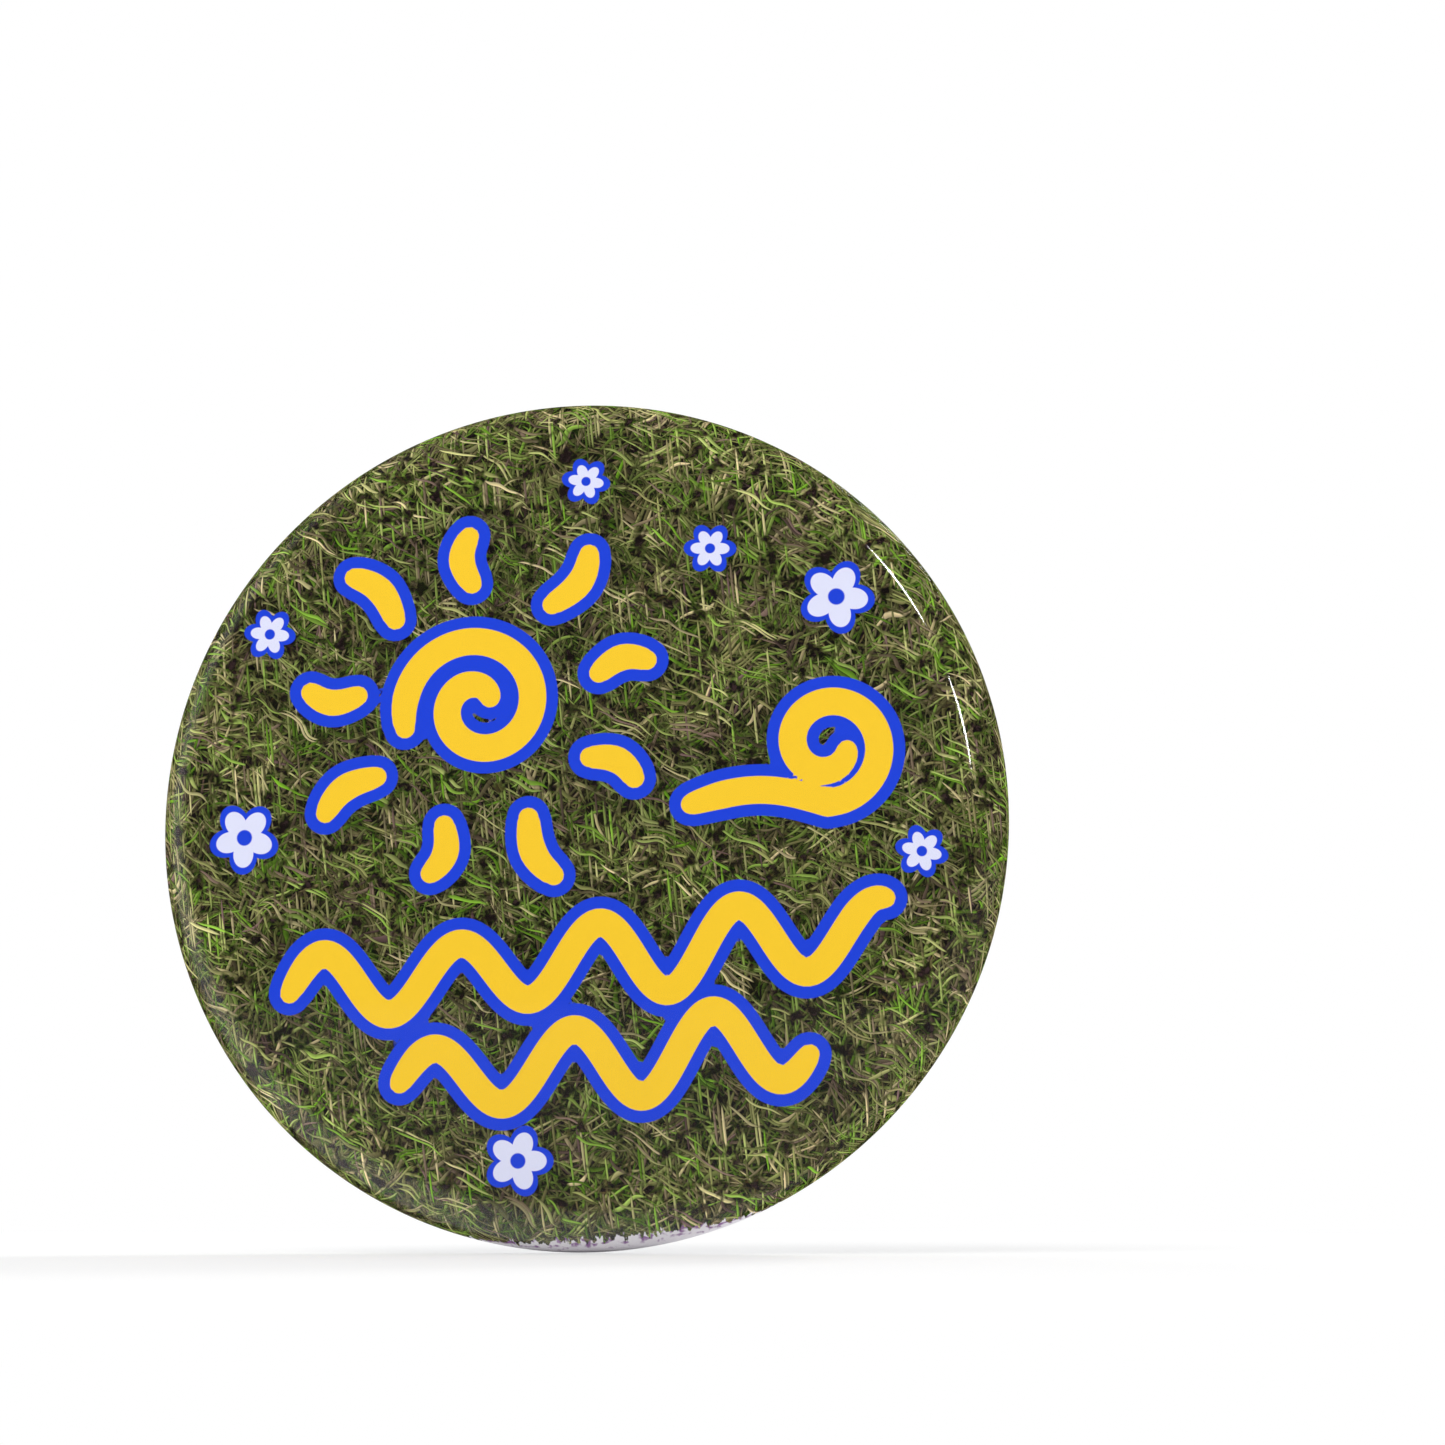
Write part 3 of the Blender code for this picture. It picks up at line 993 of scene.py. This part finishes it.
@dataclass(frozen=True)
class BrushedPlate:
    """Tinned steel with fine straight rolling streaks along Z, plainer on the sloped ring."""

    colour: Colour = srgb(206, 213, 221)
    ring: Colour = srgb(224, 226, 228)
    streak: float = 0.22
    blotch: float = 0.08
    # brightness of the highlight painted into the colour along the crease
    crease_highlight_gain: float = 0.26
    scratch: float = 0.16
    scratch_cover: Pair = (0.66, 0.80)
    ring_share: float = 0.30
    fine_cell: Triple = (0.075 * MM, 1.0, 2.6 * MM)
    broad_cell: Triple = (0.30 * MM, 1.0, 9.0 * MM)
    hair_cell: Triple = (0.05 * MM, 1.0, 1.1 * MM)
    cloud_cell: Triple = (3.2 * MM, 1.0, 4.5 * MM)
    roughness: float = 0.30
    relief: float = 0.004 * MM

    def make(self) -> bpy.types.Material:
        """Make the material, from the mesh's own values.

        `on_floor` is 1 on the floor and 0 elsewhere; the crease's value is 1 along the crease,
        where a highlight is painted into the colour and the roughness is lower.

        Returns:
            The material.
        """
        shade = Shade.named("brushed_plate")
        place = shade.place()
        floor, crease_highlight = shade.attribute("on_floor"), shade.attribute("burnish")
        fine, broad = shade.lumps(place, self.fine_cell), shade.lumps(place, self.broad_cell)
        scratch = shade.lumps(place, self.hair_cell, 0.0).ramp(*self.scratch_cover)
        cloud = shade.lumps(place, self.cloud_cell, 3.0)
        amount = self.ring_share + (1.0 - self.ring_share) * floor
        streaks = ((fine - 0.5) + 0.6 * (broad - 0.5)) * amount
        # the crease's painted highlight is added to the base colour here
        level = (1.0 + self.streak * 2.0 * streaks + self.blotch * 2.0 * (cloud - 0.5)
                 + self.scratch * scratch * amount + self.crease_highlight_gain * crease_highlight)
        height = fine * 0.6 + broad * 0.4
        return shade.principled({
            "Base Color": shade.tint(shade.mix(floor, self.ring, self.colour), level),
            "Metallic": 1.0,
            "Roughness": self.roughness + 0.10 * (broad - 0.5) - 0.06 * scratch - 0.08 * crease_highlight,
            "Normal": shade.bump(height * amount, self.relief, 0.25)})


@dataclass(frozen=True)
class Tinplate:
    """Bare tinned sheet inside the badge."""

    # darker than the back plate's steel: painted shade for the badge's inside, seen through the
    # holes
    colour: Colour = srgb(158, 160, 158)
    cell: Triple = (2.0 * MM, 2.0 * MM, 2.0 * MM)

    def make(self) -> bpy.types.Material:
        """The material."""
        shade = Shade.named("bare_tinplate")
        cloud = shade.lumps(shade.place(), self.cell, 3.0)
        return shade.principled({"Base Color": shade.tint(self.colour, 0.88 + 0.24 * cloud),
                                 "Metallic": 1.0, "Roughness": 0.28 + 0.12 * cloud})


@dataclass(frozen=True)
class SpringWire:
    """Smooth dark spring wire with faint lines along its length from drawing."""

    colour: Colour = srgb(158, 157, 157)
    warm: Colour = srgb(160, 151, 145)
    roughness: float = 0.16
    line_cell: Triple = (9.0, 0.09, 0.09)
    patch_cell: Triple = (1.6, 1.5, 1.5)
    warm_cover: Pair = (0.40, 0.65)
    relief: float = 0.003 * MM

    def make(self) -> bpy.types.Material:
        """Make the material. The tube's `grain` is its length and its place round the wire.

        Returns:
            The material.
        """
        shade = Shade.named("spring_wire")
        grain = shade.attribute("grain", "Vector")
        lines = shade.lumps(grain, self.line_cell, 1.0)
        patches = shade.lumps(grain, self.patch_cell)
        colour = shade.mix(patches.ramp(*self.warm_cover), self.colour, self.warm)
        return shade.principled({
            "Base Color": shade.tint(colour, 0.86 + 0.28 * lines), "Metallic": 1.0,
            "Roughness": self.roughness + 0.10 * (lines - 0.5) + 0.08 * (patches - 0.5),
            "Normal": shade.bump(lines, self.relief, 0.4)})


# ---------------------------------------------------------------- sub-assemblies


class Layer(Enum):
    """The cups that make the front, from the outside in."""

    FILM = "film"
    PRINT = "print"
    SHELL = "shell"


@dataclass
class Front:
    """The domed front: clear film over printed paper over a tinplate cup."""

    sizes: BadgeSizes
    artwork: Artwork
    steps: int = 360
    middle_steps: int = 13
    dome_steps: int = 70
    shoulder_steps: int = 18
    curl_steps: int = 9
    inside_stride: int = 4
    edge_rows: int = 2
    film_seen: float = 0.04 * MM
    print_seen: float = 0.05 * MM

    def surface(self, depth: float) -> Array:
        """Profile of the front at a depth below its outside, from the axis to the edge.

        A flat middle, the dome's arc, the shoulder's arc and the arc that curls in.

        Args:
            depth: How far below the outside.

        Returns:
            (r, z) points.
        """
        s = self.sizes
        dome = arc((0.0, s.dome_centre), s.dome_radius - depth,
                   s.flat_tilt - math.pi / 2, s.shoulder_tilt - math.pi / 2, self.dome_steps)
        shoulder = arc((s.radius - s.shoulder_radius, s.widest), s.shoulder_radius - depth,
                       s.shoulder_tilt - math.pi / 2, 0.0, self.shoulder_steps)
        curl = arc((s.radius - s.curl_radius, s.widest), s.curl_radius - depth,
                   0.0, s.curl_angle, self.curl_steps)
        middle = np.linspace((0.0, dome[0, 1]), dome[0], self.middle_steps + 1)
        return np.concatenate([middle, dome[1:], shoulder[1:], curl[1:]])

    def cup(self, layer: Layer, name: str, depth: float, thickness: float) -> bpy.types.Object:
        """One cup: its inside, its cut edge and its outside, turned round the axis.

        Args:
            layer: Which of the cups.
            name: The piece's name.
            depth: How far its outside lies below the badge's outside.
            thickness: Its thickness.

        Returns:
            The piece.
        """
        outer, inner = self.surface(depth), self.surface(depth + thickness)
        shoulder = self.middle_steps + self.dome_steps - 1
        inner = np.concatenate([inner[:shoulder:self.inside_stride], inner[shoulder:]])
        edge = np.linspace(inner[-1], outer[-1], self.edge_rows + 2)[1:-1]
        profile = np.concatenate([inner, edge, outer[::-1]])
        angles = np.linspace(0.0, 2 * math.pi, self.steps, endpoint=False)
        grid = turn(profile, angles)
        values = {}
        if layer is Layer.PRINT:
            out = along(outer)
            reach = np.concatenate([along(inner), np.full(self.edge_rows, out[-1]),
                                    out[::-1]]) / MM
            flat = polar((0.0, 0.0), reach[:, None], angles) * (-1.0, 1.0)
            values["flat_place"] = np.concatenate([flat, np.zeros_like(flat[..., :1])], axis=-1)
            values["stroke"] = self.artwork.distance(flat.reshape(-1, 2)).reshape(flat.shape[:2])
        skin = Skin()
        skin.add(grid, **values)
        return skin.finish(name)

    def build(self) -> None:
        """Make the three cups, dress them and put them on the badge's body.

        The film is drawn as thin as a real one, with the print close under it, so that the
        picture reaches the badge's outline.
        """
        s = self.sizes
        print_end = s.film + s.layer_gap + s.paper
        shell_depth = print_end + s.layer_gap
        plans = ((Layer.FILM, "film_skin", 0.0, self.film_seen, "film_disc", "clear_film",
                  ClearFilm().make()),
                 (Layer.PRINT, "print_skin", self.print_seen, print_end - self.print_seen,
                  "print_disc", "printed_paper", TurfPrint(self.artwork).make()),
                 (Layer.SHELL, "shell_cup", shell_depth, s.shell, "front_shell", "bare_tinplate",
                  Tinplate().make()))
        for layer, name, depth, thickness, node, slot, finish in plans:
            dress(self.cup(layer, name, depth, thickness), finish, ROOT_BODY, node)


@dataclass
class Back:
    """The dished metal back with its folded rim and two drawn holes."""

    sizes: BadgeSizes
    crease_radius: float = 0.9 * MM
    guard: float = 0.06 * MM
    rim_steps: int = 180
    middle_steps: int = 60
    bend_steps: int = 8
    fillet_steps: int = 10
    under_steps: int = 6
    lip_steps: int = 7
    crease_share: float = 0.07
    crease_grid: float = 0.07 * MM
    ring_grid: float = 0.5 * MM
    hole_grid: float = 0.3 * MM
    collar_ease: float = 0.05 * MM
    floor_fade: float = 0.2 * MM
    # place and width of the highlight painted along the crease
    burnish_shift: float = 0.05 * MM
    burnish_width: float = 0.13 * MM

    @property
    def fillet_centre(self) -> Array:
        """Centre (r, z) of the fillet between the sloped ring and the rim."""
        s = self.sizes
        corner = s.plate - s.rim_flat / 2
        return np.array([s.flange - 2 * s.plate - s.ring_fillet, s.rim - corner - s.rim_wall])

    @property
    def slope(self) -> float:
        """Slope of the ring: the tangent from the crease to the fillet."""
        s = self.sizes
        run, rise = self.fillet_centre - np.array([s.floor_radius, s.floor])
        return math.atan2(rise, run) - math.asin(s.ring_fillet / math.hypot(run, rise))

    def section(self) -> Array:
        """Section of the ring and rim, from the floor's edge over the rim to its underside.

        An eased crease, the sloped ring, the fillet, the two rounded corners of the folded
        rim, the flange, and the same line back at the sheet's thickness.

        Returns:
            (r, z) points.
        """
        s = self.sizes
        corner = s.plate - s.rim_flat / 2
        wall = s.flange - 2 * s.plate
        ease = self.crease_radius * math.tan(self.slope / 2)
        crease = arc((s.floor_radius - ease, s.floor + self.crease_radius), self.crease_radius,
                     -math.pi / 2, self.slope - math.pi / 2, self.bend_steps)
        fillet = arc(self.fillet_centre, s.ring_fillet, self.slope - math.pi / 2, 0.0,
                     self.fillet_steps)
        inner = arc((wall + corner, s.rim - corner), corner, math.pi, math.pi / 2,
                    self.bend_steps)
        outer = arc((s.flange - corner, s.rim - corner), corner, math.pi / 2, 0.0,
                    self.bend_steps)
        under = arc(self.fillet_centre, s.ring_fillet + s.plate, -s.web_angle,
                    self.slope - math.pi / 2, self.under_steps)
        foot = s.rim - s.flange_length
        flange = np.array([(s.flange, foot), (s.flange - s.plate, foot),
                           (s.flange - s.plate, under[0, 1])])
        shift = s.plate * math.tan(self.slope / 2)
        below = np.array([(s.floor_radius + shift, s.floor - s.plate),
                          (s.floor_radius - ease, s.floor - s.plate)])
        near = crease[-1] + self.crease_share * (fillet[0] - crease[-1])
        ring = np.concatenate([refined(np.array([crease[-1], near]), self.crease_grid),
                               refined(np.array([near, fillet[0]]), self.ring_grid)[1:]])
        return np.concatenate([crease, ring[1:-1], fillet, inner, outer, flange, under, below])

    def hole_side(self, side: int, rim: Array) -> Array:
        """The floor of one half of the dish, round one hole, with the hole's lip and collar.

        Every row is a loop round the hole's middle h. A column runs from the half's outline
        point b towards h, so that a point at distance d from h is h + d (b - h) / |b - h|.

        Args:
            side: 1 or -1, the half's side in x.
            rim: Angles of the floor's outline on this half.

        Returns:
            A grid of world points from the underside's outline to the floor's outline.
        """
        s = self.sizes
        edge = s.floor_radius - self.crease_radius * math.tan(self.slope / 2)
        curve = polar((0.0, 0.0), edge, rim) * (side, 1)
        down = np.linspace(edge, -edge, self.middle_steps + 1)[1:-1]
        outline = np.concatenate([curve, np.stack([np.zeros_like(down), down], axis=1)])
        hole = np.array([side * s.hole_spacing / 2, s.hole_height])
        ray = outline - hole
        reach = np.linalg.norm(ray, axis=1)
        ray /= reach[:, None]
        under, mouth = s.floor - s.plate, s.hole_radius + s.hole_lip
        collar = s.hole_radius + s.collar_wall
        lip = arc((mouth, s.floor - s.hole_lip), s.hole_lip, math.pi, math.pi / 2,
                  self.lip_steps)
        rounds = np.concatenate([
            [(collar + self.collar_ease, under), (collar, under - self.collar_ease),
             (collar, s.collar_end), (s.hole_radius, s.collar_end)],
            refined(np.array([(s.hole_radius, s.collar_end), lip[0]]), self.hole_grid)[1:-1],
            lip, [(mouth + self.guard, s.floor)]])
        inner = np.repeat(rounds[:, None], len(outline), axis=1)
        start, end = mouth + self.guard, reach - self.guard
        wide = np.stack([reach, start + 0.5 * (end - start), end, reach])
        level = np.array([under, s.floor, s.floor, s.floor])[:, None]
        sheet = np.stack([wide, np.broadcast_to(level, wide.shape)], axis=-1)
        rows = np.concatenate([sheet[:1], inner, sheet[1:]])
        plan = hole + rows[..., :1] * ray
        return to_world(np.concatenate([plan, rows[..., 1:]], axis=-1))

    def burnish(self, grid: Array) -> Array:
        """Painted crease highlight at each point: exp of -(r - floor radius)^2 / w^2."""
        radius = np.hypot(grid[..., 0], grid[..., 2])
        return np.exp(-((radius - self.sizes.floor_radius - self.burnish_shift)
                        / self.burnish_width) ** 2)

    def build(self) -> None:
        """Make the plate from its ring and two halves of floor, and dress it."""
        s = self.sizes
        skin = Skin()
        rim = np.linspace(-math.pi / 2, math.pi / 2, self.rim_steps + 1)
        section = self.section()
        fade = np.clip((s.floor_radius - section[:, :1]) / self.floor_fade + 0.5, 0.0, 1.0)
        ring = turn(section, np.concatenate([rim, rim[1:-1] + math.pi]))
        # each grid carries the floor mask and the strength of the crease's painted highlight
        for grid, floor in ((self.hole_side(1, rim), 1.0), (self.hole_side(-1, rim), 1.0),
                            (ring, fade)):
            skin.add(grid, on_floor=np.broadcast_to(floor, grid.shape[:2]),
                     burnish=self.burnish(grid))
        dress(skin.finish("dished_back"), BrushedPlate().make(), ROOT_BODY,
              "back_plate")


@dataclass
class Pin:
    """The pin, one wire on the real badge: base leg and hook, coil, and needle."""

    sizes: BadgeSizes
    sides: int = 32
    spacing: float = 0.07 * MM
    quarter_points: int = 24
    sweep_steps: int = 60
    helix_points: int = 200
    needle_points: tuple[int, int, int] = (40, 60, 40)
    bend_length: float = 1.2 * MM
    bend_reach: float = 0.55 * MM
    reference: Triple = (0.0, 1.0, 0.0)
    hook_reference: Triple = (-0.6, 0.5, -0.62)
    hook_soften: int = 4
    coil_soften: int = 3
    point_power: float = 1.4

    @property
    def split_x(self) -> float:
        """Bench x at which the coil's wire hands over to the needle's."""
        return self.sizes.hinge_x + self.sizes.wire_radius + self.sizes.clearance / 2

    def hook_height(self, y: Array) -> Array:
        """Height of the hook above the needle's level at a distance y above the needle.

        Above the needle it is a quarter ellipse up from the leg, below it a parabola.

        Args:
            y: The distances.

        Returns:
            The heights.
        """
        s = self.sizes
        top = s.hook_top - s.needle_z
        rise = np.sqrt(np.clip(1.0 - (y / s.hook_leg_offset) ** 2, 0.0, None))
        return np.where(y >= 0.0, top - s.hook_shoulder * (1.0 - rise),
                        top - s.hook_droop * (y / s.hook_reach) ** 2)

    def hook_path(self) -> Array:
        """Middle of the wire from the coil, under the floor, up and over, and to its end.

        A straight leg, a quarter circle up, and an arch whose height is hook_height's.

        Returns:
            Bench points.
        """
        s = self.sizes
        middle = -s.hole_spacing / 2 - s.hook_shift
        far, near = middle - s.hook_width / 2, middle + s.hook_width / 2
        leg_y = s.needle_y + s.hook_leg_offset
        quarter = np.linspace(0.0, math.pi / 2, self.quarter_points)
        start = [(self.split_x, s.needle_y + s.coil_pitch * s.coil_turns, s.base_z)]
        bend = np.stack([far + s.hook_bend * (1.0 - np.sin(quarter)),
                         np.full_like(quarter, leg_y),
                         s.base_z + s.hook_bend * (1.0 - np.cos(quarter))], axis=1)
        over = s.hook_leg_offset * np.cos(quarter)
        sweep = np.linspace(0.0, math.pi, self.sweep_steps + 1)[1:-1]
        across = middle - s.hook_width / 2 * np.cos(sweep) + s.hook_skew * np.sin(sweep)
        x = np.concatenate([np.full_like(over, far), across, np.full_like(over, near)])
        y = np.concatenate([over, -s.hook_reach * np.sin(sweep), over[::-1]])
        hook = np.stack([x, s.needle_y + y, s.needle_z + self.hook_height(y)], axis=1)
        end = [(near, leg_y, s.base_z + s.wire_radius + s.clearance)]
        line = np.concatenate([start, bend, hook, end])
        return resampled(line, self.spacing, self.hook_soften)

    def coil_path(self) -> Array:
        """Middle of the coil's wire: a helix about a line along y, with two straight runs.

        Returns:
            Bench points.
        """
        s = self.sizes
        turns = np.linspace(0.0, s.coil_turns, self.helix_points)
        angle = 2 * math.pi * turns
        helix = np.stack([s.hole_spacing / 2 + s.coil_radius * np.sin(angle),
                          s.needle_y + s.coil_pitch * turns,
                          s.needle_z - s.coil_radius + s.coil_radius * np.cos(angle)], axis=1)
        first = (self.split_x, *helix[0, 1:])
        last = (self.split_x, *helix[-1, 1:])
        line = np.concatenate([[first], helix, [last]])
        return resampled(line, self.spacing, self.coil_soften)

    def needle_path(self) -> tuple[Array, Array]:
        """Middle of the needle's wire and its radii: straight, then narrowed to a point.

        The radius falls as 1 - u to the point's power along the point, down to the tip's own.

        Returns:
            Bench points, and a radius for each.
        """
        s = self.sizes
        tip = -s.hole_spacing / 2 - s.hook_shift - s.hook_width / 2 - s.tip_past_hook
        corners = (self.split_x, s.hinge_x - self.bend_length, tip + s.point_length, tip)
        runs = [np.linspace(a, b, n)
                for a, b, n in zip(corners[:-1], corners[1:], self.needle_points)]
        x = np.concatenate([runs[0], runs[1][1:], runs[2][1:]])
        u = np.clip((tip + s.point_length - x) / s.point_length, 0.0, 1.0)
        radii = s.wire_radius + (s.point_width / 2 - s.wire_radius) * u ** self.point_power
        path = np.stack([x, np.full_like(x, s.needle_y), np.full_like(x, s.needle_z)], axis=1)
        return path, radii

    def build(self) -> None:
        """Make the three stretches of wire and dress them; the leg and coil ride on the body."""
        s = self.sizes
        finish = SpringWire().make()
        fixed = (("base_leg_and_hook", self.hook_path(), self.hook_reference, "pin_base_wire"),
                 ("spring_coil", self.coil_path(), self.reference, "pin_coil"))
        for name, path, reference, node in fixed:
            dress(tube(name, path, s.wire_radius, reference, self.sides), finish, ROOT_BODY,
                  node)
        piece = tube("needle_wire", *self.needle_path(), self.reference, self.sides)
        hinge = np.array([s.hinge_x, s.needle_y, s.needle_z])
        step = np.array([self.bend_reach, 0.0, 0.0])
        start, end = to_world(np.stack([hinge + step, hinge - step]))
        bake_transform(piece)
        dress(piece, finish, None, "pin_needle")


def dress(piece: bpy.types.Object, finish: bpy.types.Material, body: Optional[str],
          node: str) -> None:
    """Give a piece its finish, its body and the CAD node that it stands for.

    Args:
        piece: The finished piece.
        finish: Its material.
        body: The CAD body it rides on, or None to leave it on no body.
        node: The CAD node that it replaces.
    """
    piece.data.materials.append(finish)
    if body is not None:
        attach(piece, body)
    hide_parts(node)
    LOG.info("%s: %d faces, for %s", piece.name, len(piece.data.polygons), node)


# ---------------------------------------------------------------- studio


@dataclass(frozen=True)
class Lamp:
    """A soft lamp aimed at a spot on the badge.

    Its long side lies along long_way. A lamp for shine alone shows only in gloss and metal, and
    one that is hidden from shine lights only what is matt.
    """

    name: str
    place: Triple
    width: float
    length: float
    power: float
    target: Triple = (0.0, 0.0, 0.0)
    long_way: Triple = (0.0, 0.0, 1.0)
    shape: str = "RECTANGLE"
    lights_matt: bool = True
    shows_in_gloss: bool = True

    def build(self) -> None:
        """Make the lamp."""
        light = bpy.data.lights.new(self.name, "AREA")
        light.shape = self.shape
        light.size, light.size_y, light.energy = self.width, self.length, self.power
        lamp = linked(self.name, light)
        out = (Vector(self.place) - Vector(self.target)).normalized()
        side = Vector(self.long_way).cross(out).normalized()
        lamp.location = self.place
        lamp.rotation_mode = "QUATERNION"
        axes = Matrix((side, out.cross(side), out)).transposed()
        lamp.rotation_quaternion = axes.to_quaternion()
        lamp.visible_diffuse = self.lights_matt
        lamp.visible_glossy = self.shows_in_gloss


@dataclass
class Studio:
    """Pale floor, white surroundings, soft lamps and the camera."""

    sizes: BadgeSizes
    azimuth: float = math.radians(8.7)
    elevation: float = math.radians(-6.7)
    distance: float = 0.212
    frame_width: float = 96.9 * MM
    aim: Pair = (9.43 * MM, 6.65 * MM)
    sensor: float = 36.0
    clip: Pair = (0.005, 20.0)
    floor_size: float = 1.6
    floor_gap: float = 0.02 * MM
    floor_grey: float = 0.88
    floor_near: float = 0.40
    floor_fade: Pair = (0.03, 0.14)
    floor_shine: float = 0.85
    ambient: float = 0.74
    dimmest: float = 0.07
    band: Pair = (-0.14, 0.46)
    band_dip: float = 0.42
    dip: Pair = (0.46, 0.95)
    bright_side: Triple = (-0.62, 0.68, -0.39)
    lamps: tuple[Lamp, ...] = (
        Lamp("key", (-0.55, -1.10, 1.15), 1.2, 1.2, 12.0, shows_in_gloss=False),
        Lamp("edge", (0.205, -0.410, 0.260), 0.045, 0.085, 0.32, (0.019, 0.0, 0.014),
             (-0.112, 0.036, 0.16), "ELLIPSE", lights_matt=False),
        Lamp("edge_tail", (0.235, -0.430, 0.131), 0.045, 0.075, 0.26, (0.019, 0.0, 0.006),
             (-0.05, 0.02, 0.16), "ELLIPSE", lights_matt=False),
        Lamp("back", (0.26, 0.44, 0.40), 0.16, 0.16, 1.2),
        Lamp("back_fill", (-0.7, 1.0, 0.5), 1.0, 1.0, 2.2))

    def backdrop(self, shade: Shade, direction: Feed) -> Value:
        """How bright metal and gloss see the surroundings in a direction.

        It is white in a broad band about bright_side, a little dimmer in the band's middle,
        and falls to the dimmest level away from it.

        Args:
            shade: The tree that is being built.
            direction: The direction, of length 1.

        Returns:
            The brightness, from the dimmest level to 1.
        """
        aside = shade.vector("DOT_PRODUCT", direction, self.bright_side, output="Value")
        band = aside.ramp(*self.band) * (1.0 - self.band_dip * aside.ramp(*self.dip))
        return self.dimmest + (1.0 - self.dimmest) * band

    def floor(self) -> None:
        """A pale floor under the badge that keeps its shadow and fades to white around it."""
        size, low = self.floor_size, -self.sizes.radius - self.floor_gap
        mesh = bpy.data.meshes.new("studio_floor")
        corners = np.array([(-size, -size, low), (size, -size, low), (size, size, low),
                            (-size, size, low)])
        mesh.from_pydata(corners.tolist(), [], [(0, 1, 2, 3)])
        ground = linked("studio_floor", mesh)
        shade = Shade.named("pale_floor")
        seen, shiny, place = shade.ray("Camera"), shade.ray("Glossy"), shade.place()
        away = shade.vector("LENGTH", place, output="Value")
        towards = shade.vector("NORMALIZE", place)
        matt = shade.node("ShaderNodeBsdfDiffuse", None, {"Color": (self.floor_grey,) * 3})
        lift = shade.node("ShaderNodeEmission", None, {
            "Color": (1.0, 1.0, 1.0),
            "Strength": seen + shiny * self.backdrop(shade, towards)})
        near = self.floor_near
        share = (seen * (near + (1.0 - near) * away.ramp(*self.floor_fade))
                 + self.floor_shine * shiny)
        shade.close(shade.node("ShaderNodeMixShader", None,
                               {0: share, 1: matt.outputs[0], 2: lift.outputs[0]}))
        mesh.materials.append(shade.owner)

    def surroundings(self) -> None:
        """White for the camera, an even level for matt surfaces, and the backdrop for shine."""
        world = bpy.data.worlds.new("studio")
        bpy.context.scene.world = world
        shade = Shade(world)
        seen = shade.ray("Camera").sum("MAXIMUM", shade.ray("Transmission"))
        backdrop = self.backdrop(shade, shade.place("Generated"))
        level = self.ambient + shade.ray("Glossy") * (backdrop - self.ambient)
        strength = seen + (1.0 - seen) * level
        shade.close(shade.node("ShaderNodeBackground", None,
                               {"Color": (1.0, 1.0, 1.0), "Strength": strength}),
                    "ShaderNodeOutputWorld")

    def camera(self) -> None:
        """A camera a little right of the face and below it; the badge stands left and low."""
        sight = bpy.data.cameras.new("camera")
        sight.sensor_width = self.sensor
        sight.lens = self.sensor * self.distance / self.frame_width
        sight.clip_start, sight.clip_end = self.clip
        eye = linked("camera", sight)
        back = Vector((math.sin(self.azimuth) * math.cos(self.elevation),
                       -math.cos(self.azimuth) * math.cos(self.elevation),
                       math.sin(self.elevation)))
        eye.location = back * self.distance
        right = Vector((math.cos(self.azimuth), math.sin(self.azimuth), 0.0))
        up = right.cross(-back)
        target = self.aim[0] * right + self.aim[1] * up
        eye.rotation_mode = "QUATERNION"
        eye.rotation_quaternion = (target - eye.location).to_track_quat("-Z", "Y")
        bpy.context.scene.camera = eye

    def build(self) -> None:
        """Set the whole studio up."""
        self.floor()
        self.surroundings()
        for lamp in self.lamps:
            lamp.build()
        self.camera()
        bpy.context.scene.view_settings.view_transform = "Standard"


def main() -> None:
    """Build every part of the badge and its studio."""
    logging.basicConfig(level=logging.INFO, format="%(message)s")
    studio = Studio(SIZES)
    studio.build()
    for assembly in (Front(SIZES, Artwork()), Back(SIZES), Pin(SIZES)):
        assembly.build()


if __name__ == "__main__":
    main()
